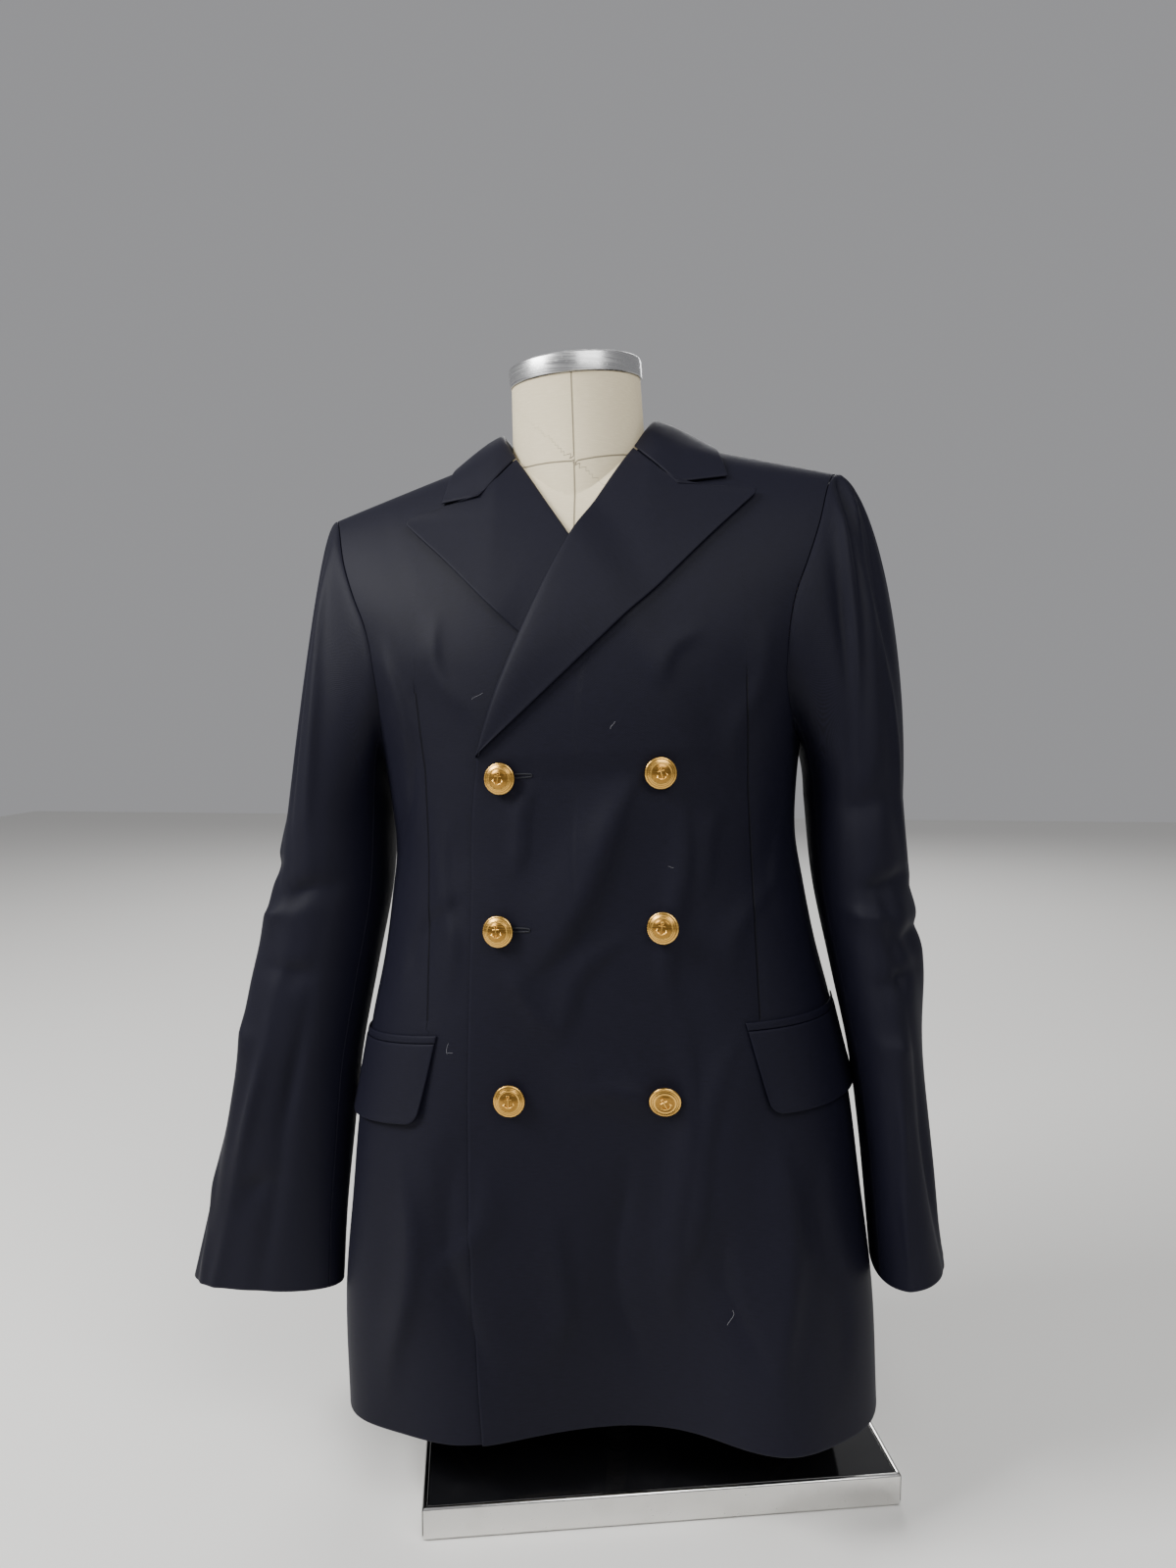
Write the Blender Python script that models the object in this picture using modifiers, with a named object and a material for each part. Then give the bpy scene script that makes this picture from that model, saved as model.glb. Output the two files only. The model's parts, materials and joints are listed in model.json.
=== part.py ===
"""A double-breasted jacket with peak lapels, worn on a limbless dress form on a low stand.

Lengths are in metres and +Z is up. The jacket faces -Y. "Left" and "right" are the wearer's, so the
left side lies at +X. Every cloth piece is a wall grown from one body surface, torso(), or from the
rings of a sleeve. What lies on a panel is made on the same surface, moved out by a layer.
"""

import math

import bmesh
import bpy
import numpy as np
from mathutils import Matrix, Vector

# Cloth
CLOTH = 0.0018  # a front, back or sleeve with its interlining
LAYER = 0.0026  # from one layer's inner face to the next: cloth and an air gap
SEAM = 0.0003  # gap between two pieces at a seam
WELT_THICK = 0.0012

# Heights on the jacket, above the underside of the base
HEM_Z = 0.080
ARMHOLE_Z = 0.605  # the lowest point of the armhole
CHEST_Z = 0.620  # the body closes in towards the shoulder line above this
NECK_Z = 0.866  # the shoulder line at the neck
NECK_X = 0.0625  # half the width of the neck opening
SHOULDER_FALL = 0.285  # drop of the shoulder line for each metre out
RISE = 0.300  # length of the surface from the chest up to the shoulder line
TOP = CHEST_Z + RISE
BACK_NECK = 0.180  # how far up that rise the back neckline starts

ROUNDING = 2.1  # exponent of the roll over the shoulder
FRONT_SEAM = math.radians(80)  # front to side panel, as an angle round the body
BACK_SEAM = math.radians(118)  # side panel to back
FRONT_ARM = math.radians(55.5)
BACK_ARM = math.radians(55.5)
ARM_CURVE = 0.30  # share of the armhole's height that the underarm curve takes

# Stance: the form leans on its pole, and the right shoulder sits lower still
LEAN = math.radians(2.5)
SHOULDER_TILT = 0.031
POLE_X = -0.018

# Body sections: height, half width, depth in front, depth behind, squareness in front and behind
SECTIONS = np.array([
    (0.080, 0.216, 0.152, 0.060, 7.0, 3.2),
    (0.175, 0.216, 0.152, 0.066, 6.0, 3.0),
    (0.250, 0.211, 0.150, 0.072, 4.6, 2.8),
    (0.320, 0.206, 0.148, 0.078, 3.6, 2.6),
    (0.390, 0.195, 0.146, 0.079, 3.0, 2.5),
    (0.440, 0.184, 0.144, 0.079, 2.7, 2.4),
    (0.490, 0.176, 0.142, 0.082, 2.5, 2.4),
    (0.530, 0.171, 0.140, 0.087, 2.4, 2.4),
    (0.570, 0.173, 0.139, 0.094, 2.4, 2.4),
    (0.620, 0.181, 0.137, 0.102, 2.4, 2.4),
    (0.660, 0.193, 0.135, 0.108, 2.4, 2.4),
    (0.700, 0.212, 0.132, 0.110, 2.4, 2.4),
    (0.730, 0.226, 0.128, 0.110, 2.4, 2.4),
    (0.765, 0.244, 0.122, 0.108, 2.4, 2.4),
    (0.800, 0.256, 0.115, 0.105, 2.4, 2.4),
    (0.866, 0.262, 0.105, 0.100, 2.4, 2.4),
])

# Waves of the hanging skirt in front: x, half width, how far it stands out at the hem
HEM_WAVES = (
    (-0.108, 0.052, 0.017),
    (0.028, 0.070, -0.016),
    (0.140, 0.048, 0.024),
)
HEM_WAVE_TOP = 0.46

# Folds of the body: +1 front or -1 back, x and z of each end, half width, height
BODY_FOLDS = (
    (1, 0.030, 0.570, -0.034, 0.462, 0.020, 0.0050),
    (1, 0.118, 0.372, 0.068, 0.190, 0.024, 0.0050),
    (1, 0.055, 0.342, -0.020, 0.372, 0.016, 0.0035),
    (1, -0.120, 0.335, -0.150, 0.150, 0.022, 0.0040),
    (1, -0.168, 0.690, -0.135, 0.610, 0.018, 0.0035),
    (1, 0.158, 0.700, 0.140, 0.600, 0.018, 0.0030),
    (-1, -0.060, 0.560, -0.120, 0.480, 0.022, 0.0040),
    (-1, 0.070, 0.550, 0.130, 0.470, 0.022, 0.0040),
    (-1, -0.090, 0.330, -0.110, 0.120, 0.030, 0.0060),
    (-1, 0.080, 0.340, 0.105, 0.120, 0.030, 0.0060),
    (-1, 0.000, 0.800, 0.020, 0.700, 0.026, 0.0030),
)

# Front edge: height, how far it laps past the centre
FRONT_EDGE = np.array([
    (0.080, 0.092), (0.174, 0.095), (0.318, 0.094), (0.476, 0.086), (0.588, 0.078), (0.609, 0.074),
])
# Roll line of the lapel: height, distance out from the centre
ROLL_LINE = np.array([
    (0.609, -0.074), (0.660, -0.056), (0.708, -0.034), (0.771, -0.001), (0.815, 0.027), (0.866, 0.060),
])
ROLL_BOTTOM = 0.609
LAPEL_SET_BACK = 0.0012  # the front stops this far inside its lapel's fold

# Outlines seen from the front, by side (+1 left, -1 right): distance out from the centre and height
LAPEL_EDGE = {
    1: ((-0.0715, 0.612), (-0.012, 0.663), (0.066, 0.730), (0.110, 0.770), (0.1450, 0.8010)),
    -1: ((-0.0715, 0.612), (-0.012, 0.663), (0.036, 0.700), (0.107, 0.771), (0.1370, 0.7995)),
}
PEAK = {1: (0.1475, 0.8050), -1: (0.1385, 0.8045)}
NOTCH = {1: (0.0840, 0.8130), -1: (0.0755, 0.8170)}
GORGE_TOP_Z = 0.850
COLLAR_LIFT = LAYER + CLOTH / 2 + 0.0006  # from the body surface to the middle of the collar
LAPEL_AIR = 0.0004  # more air under a lapel than between two flat layers
LAPEL_ROUND = 0.75  # where the peak lies along the lapel

# Collar seen from above, by side: the fall's edge from the leaf's tip round to the centre back
LEAF_TIP = {1: (0.1240, 0.8165), -1: (0.1090, 0.8150)}
COLLAR_EDGE = {
    1: ((0.1190, -0.034), (0.1120, 0.000), (0.0980, 0.032), (0.0620, 0.0590), (0.0, 0.0665)),
    -1: ((0.1050, -0.034), (0.1030, 0.000), (0.0940, 0.032), (0.0620, 0.0590), (0.0, 0.0665)),
}
# The collar's fold at the same places, and its seam at the neckline seen from above
COLLAR_FOLD = ((0.0590, -0.026, 0.872), (0.0645, 0.000, 0.884), (0.0590, 0.030, 0.877),
               (0.0375, 0.0570, 0.867), (0.0, 0.0665, 0.862))
COLLAR_SEAM = ((0.0595, -0.024), (0.0640, 0.000), (0.0580, 0.030), (0.0370, 0.0520), (0.0, 0.0618))

# Sleeve rings, by side: height, centre out from the middle, centre forward, half width, half depth
SLEEVE_RINGS = {
    1: np.array([
        (0.560, 0.2215, -0.010, 0.0400, 0.080), (0.493, 0.2238, -0.024, 0.0390, 0.074),
        (0.419, 0.2310, -0.040, 0.0345, 0.070), (0.350, 0.2380, -0.053, 0.0280, 0.068),
        (0.286, 0.2420, -0.065, 0.0260, 0.066), (0.225, 0.2455, -0.077, 0.0265, 0.063),
        (0.182, 0.2490, -0.086, 0.0280, 0.060),
    ]),
    -1: np.array([
        (0.560, 0.2235, -0.010, 0.0440, 0.078), (0.493, 0.2335, -0.022, 0.0500, 0.070),
        (0.419, 0.2490, -0.038, 0.0520, 0.062), (0.350, 0.2620, -0.050, 0.0520, 0.055),
        (0.286, 0.2720, -0.062, 0.0560, 0.046), (0.225, 0.2815, -0.074, 0.0600, 0.036),
        (0.162, 0.2900, -0.085, 0.0655, 0.028),
    ]),
}
SLEEVE_HEAD = {1: 0.040, -1: 0.024}  # how far the head of the sleeve puffs out past the seam
CUFF_RISE = {1: 0.20, -1: 0.04}  # the cuff is higher at its outer side
SLEEVE_SEAMS = (math.radians(-104), math.radians(132))  # back and front seam, from the outer side

# Sleeve folds: side, angle from the outer side, start and end along the sleeve, half width, height
SLEEVE_FOLDS = (
    (1, 0.35, 0.44, 0.62, 0.22, 0.0050),
    (1, 0.90, 0.02, 0.30, 0.22, -0.0045),
    (1, 0.60, 0.70, 0.98, 0.26, 0.0030),
    (1, 1.25, 0.42, 0.56, 0.24, -0.0055),
    (1, -1.20, 0.46, 0.60, 0.26, -0.0050),
    (-1, 0.80, 0.40, 0.92, 0.22, 0.0045),
    (-1, 0.30, 0.42, 0.52, 0.22, -0.0040),
    (-1, 1.20, 0.06, 0.34, 0.24, 0.0040),
    (-1, -1.20, 0.46, 0.60, 0.26, -0.0050),
)

# Pockets on the hips: where the flap starts, its length round the body and its depth
POCKET_X = {1: 0.122, -1: 0.119}
POCKET_Z = {1: 0.392, -1: 0.386}
POCKET_RISE = {1: -0.03, -1: -0.10}  # how the pocket slopes towards the side
FLAP_LONG = 0.142
FLAP_DEEP = 0.062
FLAP_CORNER = 0.016
WELT_HIGH = 0.006

# Buttons: x, height, tilt in degrees (face turned down)
BUTTONS = (
    (-0.056, 0.592, 0), (0.063, 0.592, 4),
    (-0.062, 0.475, 0), (0.064, 0.475, 4),
    (-0.060, 0.346, 0), (0.059, 0.346, 16),
)
BUTTON_R = 0.0122
# Turned outline of a button, from the top of the dome down to the shank: radius and height shares
BUTTON_PROFILE = (
    (0.0, 0.52), (0.34, 0.50), (0.60, 0.43), (0.66, 0.36), (0.76, 0.36), (0.84, 0.30), (1.00, 0.22),
    (1.00, 0.10), (0.80, -0.02), (0.24, -0.06), (0.20, -0.24), (0.0, -0.24),
)

# Dress form
FORM_BOTTOM_Z = 0.330
FORM_CLEAR = 0.0008  # under the shoulders, where the jacket rests on it
# Height and how far the form stays inside the jacket
FORM_INSET = np.array([(0.330, 0.024), (0.440, 0.016), (0.530, 0.012), (0.620, 0.009), (0.740, 0.004),
                       (0.820, 0.0010), (0.866, 0.0008)])
FORM_SHOULDER_X = 0.190
NECK_R = 0.0575
NECK_TOP_R = 0.0552
NECK_TOP_Z = 0.9190
NECK_TILT = math.radians(4)
NECK_FORWARD = -0.004
NECK_ROOT_Z = 0.800
NECK_FLARE = 0.016
FORM_SQUARE = 0.84
CAP_R = 0.0568
CAP_HIGH = 0.0165

# Stand
BASE_W, BASE_D, BASE_H = 0.384, 0.280, 0.026
BASE_TURN = math.radians(11.7)
TRIM_WALL = 0.005
TRIM_ROUND = 0.0022
PLATE_DROP = 0.0008
POLE_R = 0.0125
SOCKET_R, SOCKET_H = 0.022, 0.034
FLANGE_R, FLANGE_H = 0.045, 0.005

# Rows that every panel of the body shares, so that their seams run together
BODY_LEVELS = np.linspace(HEM_Z, 0.583, 13)
LAP_COLS = 5
STEP = 1e-4


def smooth_table(x, xs, ys):
    """A value between the rows of a table, along a cubic through them."""
    xs, ys = np.asarray(xs, float), np.asarray(ys, float)
    slopes = np.gradient(ys, xs)
    x = np.clip(x, xs[0], xs[-1])
    i = np.clip(np.searchsorted(xs, x, side="right") - 1, 0, len(xs) - 2)
    h = xs[i + 1] - xs[i]
    u = (x - xs[i]) / h
    return (
        (1 + 2 * u) * (1 - u) ** 2 * ys[i]
        + u * (1 - u) ** 2 * h * slopes[i]
        + u * u * (3 - 2 * u) * ys[i + 1]
        - u * u * (1 - u) * h * slopes[i + 1]
    )


def ease(x, start, end):
    u = np.clip((x - start) / (end - start), 0, 1)
    return u * u * (3 - 2 * u)


def bump(distance, half_width):
    return np.exp(-((distance / half_width) ** 2))


def section(height, column):
    return smooth_table(height, SECTIONS[:, 0], SECTIONS[:, column])


def shoulder_line(x):
    return NECK_Z - SHOULDER_FALL * np.maximum(np.abs(x) - NECK_X, 0)


def power(value, exponent):
    return np.sign(value) * np.abs(value) ** exponent


def folds(x, z, face):
    """How far the cloth stands out at a place: the skirt's waves and the drawn folds."""
    out = np.zeros(np.broadcast(x, z).shape)
    if face > 0:
        fade = np.clip((HEM_WAVE_TOP - z) / (HEM_WAVE_TOP - HEM_Z), 0, 1) ** 1.6
        for middle, half, height in HEM_WAVES:
            out = out + height * fade * bump(x - middle, half)
    for side, x0, z0, x1, z1, half, height in BODY_FOLDS:
        if side == face:
            ax, az = x1 - x0, z1 - z0
            along = np.clip(((x - x0) * ax + (z - z0) * az) / (ax * ax + az * az), -0.2, 1.2)
            off = np.hypot(x - x0 - along * ax, z - z0 - along * az)
            out = out + height * bump(off, half) * ease(along, -0.2, 0.3) * ease(-along, -1.2, -0.7)
    return out


def torso(angle, level):
    """A point of the body surface. The angle runs from the centre front (0) to the centre back (pi).

    The level is the height up to the chest, and above it the distance along the surface to the
    shoulder line, where the front and the back meet.
    """
    angle, level = np.broadcast_arrays(np.asarray(angle, float), np.asarray(level, float))
    turn = np.clip((level - CHEST_Z) / RISE, 0, 2) * math.pi / 2
    lift = np.abs(np.sin(turn)) ** (2 / ROUNDING)
    close = power(np.cos(turn), 2 / ROUNDING)
    height = np.where(level < CHEST_Z, level, CHEST_Z + (NECK_Z - CHEST_Z) * lift)
    front = np.cos(angle) >= 0
    depth = np.where(front, section(height, 2), section(height, 3))
    square = np.where(front, section(height, 4), section(height, 5))
    x = section(height, 1) * power(np.sin(angle), 2 / square)
    y = -depth * power(np.cos(angle), 2 / square) * close
    z = np.where(level < CHEST_Z, level, CHEST_Z + (shoulder_line(x) - CHEST_Z) * lift)
    facing = np.abs(np.cos(angle)) ** 0.6 * np.abs(close)
    stand = np.where(front, folds(x, z, 1), folds(x, z, -1)) * facing
    return np.stack([x, np.where(front, y - stand, y + stand), z], axis=-1)


def outward(angle, level):
    """The unit normal of the body surface."""
    angle, level = np.broadcast_arrays(np.asarray(angle, float), np.asarray(level, float))
    level = np.minimum(level, TOP - 2 * STEP)
    across = torso(angle + 4 * STEP, level) - torso(angle - 4 * STEP, level)
    up = torso(angle, level + STEP) - torso(angle, level - STEP)
    normal = np.cross(across, up)
    normal /= np.linalg.norm(normal, axis=-1, keepdims=True)
    away = torso(angle, level) * (0.4, 1, 1) - (0, 0, 0.55)
    return normal * np.sign((normal * away).sum(-1, keepdims=True))


def front_angle(x, level):
    """The angle at which a row of the front has this x."""
    turn = np.clip((level - CHEST_Z) / RISE, 0, 1) * math.pi / 2
    lift = np.abs(np.sin(turn)) ** (2 / ROUNDING)
    height = np.where(level < CHEST_Z, level, CHEST_Z + (NECK_Z - CHEST_Z) * lift)
    share = np.clip(x / section(height, 1), -1, 1)
    return np.arcsin(power(share, section(height, 4) / 2))


def place(x, z):
    """The angle and level of a point of the front seen at x and z."""
    lift = np.clip((z - CHEST_Z) / (shoulder_line(x) - CHEST_Z), 0, 1)
    level = np.where(z < CHEST_Z, z, CHEST_Z + RISE * np.arcsin(lift ** (ROUNDING / 2)) * 2 / math.pi)
    return front_angle(x, level), level


def front_edge(z):
    return smooth_table(z, FRONT_EDGE[:, 0], FRONT_EDGE[:, 1])


def roll_x(z):
    return smooth_table(z, ROLL_LINE[:, 0], ROLL_LINE[:, 1])


def layer_left(x, z):
    """How far out the left front lies, where the right front and its lapel are under it."""
    edge = np.where(z < ROLL_BOTTOM, front_edge(z), -roll_x(z))
    under_lapel = (LAYER + LAPEL_AIR) * ease(z, 0.588, 0.612)
    return (LAYER + under_lapel) * (1 - ease(x, edge + 0.004, edge + 0.044))


def layer_of(side, x, z):
    return layer_left(x, z) if side > 0 else np.zeros(np.shape(x))


def armhole_angle(level, arm):
    share = (level - ARMHOLE_Z) / (TOP - ARMHOLE_Z)
    low = np.clip(1 - share / ARM_CURVE, 0, 1)
    return arm + (math.pi / 2 - arm) * (1 - np.sqrt(1 - low * low))


def armhole_level(angle, arm):
    """The armhole's level at an angle from the arm's own limit to the side."""
    low = np.clip(1 - (angle - arm) / (math.pi / 2 - arm), 0, 1)
    share = ARM_CURVE * (1 - np.sqrt(1 - low * low))
    return ARMHOLE_Z + share * (TOP - ARMHOLE_Z)


def spaced(points_at, start, end, count):
    """Values from start to end whose points are evenly spaced on the surface."""
    dense = np.linspace(start, end, 81)
    points = points_at(dense)
    along = np.concatenate([[0], np.cumsum(np.linalg.norm(np.diff(points, axis=0), axis=1))])
    return np.interp(np.linspace(0, along[-1], count + 1), along, dense)


def settle(points):
    """The right shoulder sits a little lower than the left one."""
    points = np.array(points, float)
    points[..., 2] += SHOULDER_TILT * points[..., 0] * ease(points[..., 2], CHEST_Z - 0.04, 0.80)
    return points


def material(name, colour, roughness, metallic=0.0):
    made = bpy.data.materials.new(name)
    made.use_nodes = True
    shader = made.node_tree.nodes["Principled BSDF"]
    shader.inputs["Base Color"].default_value = (*colour, 1)
    shader.inputs["Roughness"].default_value = roughness
    shader.inputs["Metallic"].default_value = metallic
    made.diffuse_color = (*colour, 1)
    return made


def add_object(name, mesh, finish, parent=None):
    obj = bpy.data.objects.new(name, mesh)
    bpy.data.collections["Double-breasted jacket"].objects.link(obj)
    mesh.materials.append(finish)
    obj.parent = parent
    return obj


def add_wall(name, inner, outer, finish, parent):
    """A closed wall between two grids of points that have the same rows and columns."""
    rows, cols = inner.shape[:2]
    count = rows * cols
    index = np.arange(count).reshape(rows, cols)
    quads = []
    for r in range(rows - 1):
        for c in range(cols - 1):
            a, b, d, e = index[r, c], index[r, c + 1], index[r + 1, c + 1], index[r + 1, c]
            quads.append((a, b, d, e))
            quads.append((e + count, d + count, b + count, a + count))
    border = [*index[0, :], *index[1:, -1], *index[-1, -2::-1], *index[-2:0:-1, 0]]
    for a, b in zip(border, border[1:] + border[:1]):
        quads.append((b, a, a + count, b + count))
    points = settle(np.concatenate([inner.reshape(-1, 3), outer.reshape(-1, 3)]))
    mesh = bpy.data.meshes.new(name)
    mesh.from_pydata(points.tolist(), [], [tuple(int(i) for i in q) for q in quads])
    corner = points[quads[0][1]] - points[quads[0][0]]
    side = points[quads[0][3]] - points[quads[0][0]]
    if np.dot(np.cross(corner, side), points[count] - points[0]) > 0:
        mesh.flip_normals()
    mesh.shade_smooth()
    mesh.set_sharp_from_angle(angle=math.radians(40))
    return add_object(name, mesh, finish, parent)


def add_panel(name, angle, level, inside, thick, finish, parent):
    """A wall on the body surface. The grids give its places, and inside how far out it starts."""
    base = torso(angle, level)
    normal = outward(angle, level)
    inside = np.broadcast_to(inside, base.shape[:2])[..., None]
    return add_wall(name, base + normal * inside, base + normal * (inside + thick), finish, parent)


def row_angles(level, start, end, cols):
    return spaced(lambda angle: torso(angle, level), start, end, cols)


def front_start(level):
    """The angle of the front's inner boundary: its front edge, and the roll line above it."""
    if level <= ROLL_BOTTOM:
        return front_angle(-front_edge(level), level)
    angle = 0.1
    for _ in range(12):
        angle = front_angle(roll_x(torso(angle, level)[2]) + LAPEL_SET_BACK, level)
    return angle


def front_row(level):
    """The angles along one row of a front.

    The first few lie evenly each side of the centre, so that the two fronts, which lap there, have
    the same ones.
    """
    start = float(front_start(level))
    end = float(min(FRONT_SEAM, armhole_angle(level, FRONT_ARM)))
    split = max(-start, start + 0.09)
    return np.concatenate([
        np.linspace(start, split, LAP_COLS + 1)[:-1],
        row_angles(level, split, end, 8),
    ])


def add_fronts(finish, parent):
    levels = np.concatenate([
        BODY_LEVELS,
        np.linspace(BODY_LEVELS[-1], ROLL_BOTTOM, 4)[1:],
        np.linspace(ROLL_BOTTOM, TOP - 0.0002, 19)[1:],
    ])
    for side, name in ((1, "front_left"), (-1, "front_right")):
        angles = side * np.array([front_row(level) for level in levels])
        grid = np.repeat(levels[:, None], angles.shape[1], axis=1)
        where = torso(angles, grid)
        add_panel(name, angles, grid, layer_of(side, where[..., 0], where[..., 2]), CLOTH, finish, parent)


def add_sides(finish, parent):
    gap = SEAM / 0.19
    for side, name in ((1, "side_left"), (-1, "side_right")):
        columns = np.linspace(FRONT_SEAM + gap, BACK_SEAM - gap, 5)
        front_arm = np.minimum(columns, math.pi / 2)
        back_arm = np.minimum(math.pi - columns, math.pi / 2)
        top = np.where(columns < math.pi / 2, armhole_level(front_arm, FRONT_ARM),
                       armhole_level(back_arm, BACK_ARM))
        share = np.linspace(0, 1, 4)[1:, None]
        low = np.repeat(BODY_LEVELS[:, None], len(columns), axis=1)
        grid = np.concatenate([low, BODY_LEVELS[-1] + share * (top[None, :] - BODY_LEVELS[-1])])
        angles = np.repeat(side * columns[None, :], len(grid), axis=0)
        add_panel(name, angles, grid, 0, CLOTH, finish, parent)


def add_backs(finish, parent):
    neck_level = CHEST_Z + BACK_NECK
    seam_top = float(armhole_level(math.pi - BACK_SEAM, BACK_ARM))
    levels = np.concatenate([
        BODY_LEVELS,
        np.linspace(BODY_LEVELS[-1], seam_top, 4)[1:],
        np.linspace(seam_top, neck_level, 7)[1:],
        np.linspace(neck_level, TOP - 0.0002, 6)[1:],
    ])
    for side, name in ((1, "back_left"), (-1, "back_right")):
        angles = []
        for level in levels:
            start = math.pi - SEAM / 2 / 0.17
            if level > neck_level:
                rest = (TOP - level) / (TOP - neck_level)
                x = NECK_X * math.sqrt(max(0, 1 - rest * rest))
                start = math.pi - float(front_angle(x, level))
            end = max(BACK_SEAM, math.pi - armhole_angle(level, BACK_ARM))
            angles.append(side * row_angles(level, start, float(end), 8))
        angles = np.array(angles)
        grid = np.repeat(levels[:, None], angles.shape[1], axis=1)
        add_panel(name, angles, grid, 0, CLOTH, finish, parent)


def polyline(points, shares):
    """Points at shares of a polyline's length, softened by a cubic through its corners."""
    points = np.array(points, float)
    along = np.concatenate([[0], np.cumsum(np.linalg.norm(np.diff(points, axis=0), axis=1))])
    along /= along[-1]
    return np.stack([smooth_table(shares, along, points[:, k]) for k in range(points.shape[1])], -1)


def patch(bottom, right, top, left):
    """A Coons patch. bottom and top run across, and left and right run up."""
    rows, cols = len(left), len(bottom)
    v = np.linspace(0, 1, rows)[:, None, None]
    u = np.linspace(0, 1, cols)[None, :, None]
    ruled = (1 - u) * left[:, None] + u * right[:, None] + (1 - v) * bottom[None] + v * top[None]
    corners = ((1 - u) * (1 - v) * bottom[0] + u * (1 - v) * bottom[-1]
               + (1 - u) * v * top[0] + u * v * top[-1])
    return ruled - corners


def lapel_outline(side, rows, cols):
    """The lapel seen from the front: distance out from the centre and height, as a grid."""
    shares = np.linspace(0, 1, rows)
    heights = ROLL_BOTTOM + shares * (GORGE_TOP_Z - ROLL_BOTTOM)
    fold = np.stack([roll_x(heights), heights], -1)
    notch, peak = np.array(NOTCH[side]), np.array(PEAK[side])
    low = shares <= LAPEL_ROUND
    edge = np.zeros((rows, 2))
    edge[low] = polyline(LAPEL_EDGE[side], shares[low] / LAPEL_ROUND)
    high = (shares[~low] - LAPEL_ROUND) / (1 - LAPEL_ROUND)
    edge[~low] = peak + (notch - peak) * high[:, None]
    across = np.linspace(0, 1, cols)[:, None]
    bottom = fold[0] + (edge[0] - fold[0]) * across
    top = fold[-1] + (notch - fold[-1]) * across
    return patch(bottom, edge, top, fold)


def add_lapels(finish, parent):
    for side, name in ((1, "lapel_left"), (-1, "lapel_right")):
        seen = lapel_outline(side, 21, 9)
        out, z = seen[..., 0], seen[..., 1]
        angle, level = place(out, z)
        under = layer_of(side, side * out, z)
        add_panel(name, side * angle, level, under + LAYER + LAPEL_AIR, CLOTH, finish, parent)


def drape(x, y):
    """Height and outward direction of the shoulders seen from above."""
    x, y = np.abs(x), np.asarray(y, float)
    z = np.full(np.broadcast(x, y).shape, NECK_Z - 0.03)
    for _ in range(20):
        depth = np.where(y < 0, section(z, 2), section(z, 3))
        hollow = 1 - np.clip(x / section(z, 1), 0, 1) ** 2.4
        close = np.clip(np.abs(y) / (depth * hollow ** (1 / 2.4)), 0, 1)
        lift = (1 - close**ROUNDING) ** (1 / ROUNDING)
        z = CHEST_Z + (shoulder_line(x) - CHEST_Z) * lift
    return z


def lifted(x, y, distance):
    """Points of the shoulders seen from above, moved out along the surface's normal."""
    small = 0.0005
    z = drape(x, y)
    slope_x = (drape(x + small, y) - drape(x - small, y)) / (2 * small)
    slope_y = (drape(x, y + small) - drape(x, y - small)) / (2 * small)
    normal = np.stack([-slope_x, -slope_y, np.ones_like(z)], -1)
    normal /= np.linalg.norm(normal, axis=-1, keepdims=True)
    return np.stack([x * np.ones_like(z), y * np.ones_like(z), z], -1) + normal * distance


def collar_half(side, fall_cols, stand_cols, rows):
    """One half of the collar's middle surface, from the gorge (first row) to the centre back."""
    notch, tip = np.array(NOTCH[side]), np.array(LEAF_TIP[side])
    top = np.array([float(roll_x(GORGE_TOP_Z)), GORGE_TOP_Z])
    shares = np.linspace(0, 1, fall_cols)[:, None]
    end = np.where(shares < 0.5, top + (notch - top) * shares * 2, notch + (tip - notch) * (shares * 2 - 1))
    angle, level = place(end[:, 0], end[:, 1] + 0.0020)
    first = torso(angle, level) + outward(angle, level) * COLLAR_LIFT
    fold = np.concatenate([first[:1], np.array(COLLAR_FOLD)])
    edge_plan = np.array(COLLAR_EDGE[side])
    edge = np.concatenate([first[-1:], lifted(edge_plan[:, 0], edge_plan[:, 1], COLLAR_LIFT)])
    seam_plan = np.array(COLLAR_SEAM)
    seam = np.concatenate([first[:1] + (0.0010, 0.0030, -0.0004),
                           lifted(seam_plan[:, 0], seam_plan[:, 1], LAYER + 0.0004)])
    places = np.linspace(0, 1, rows)
    fold, edge, seam = (polyline(line, places) for line in (fold, edge, seam))
    grid = []
    for k in range(rows):
        across = np.linspace(0, 1, fall_cols)[:, None]
        bend = fold[k] + (edge[k] - fold[k]) * (0.42, 0.42, 0.16)
        leaf = (1 - across) ** 2 * fold[k] + 2 * across * (1 - across) * bend + across**2 * edge[k]
        if k == 0:
            leaf = first.copy()
        elif k < 4:
            blend = k / 4
            leaf = blend * leaf + (1 - blend) * (first + (1 - across) * (fold[k] - first[0])
                                                 + across * (edge[k] - first[-1]))
        floor = lifted(leaf[:, 0], leaf[:, 1], COLLAR_LIFT)
        leaf = np.where(leaf[:, 2:] < floor[:, 2:], floor, leaf)
        down = np.linspace(0, 1, stand_cols)[1:, None]
        stand = fold[k] + (seam[k] - fold[k]) * down
        grid.append(np.concatenate([stand[::-1], leaf]))
    return np.array(grid)


def grid_normals(grid):
    across = np.gradient(grid, axis=1)
    along = np.gradient(grid, axis=0)
    normal = np.cross(along, across)
    return normal / np.linalg.norm(normal, axis=-1, keepdims=True)


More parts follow.
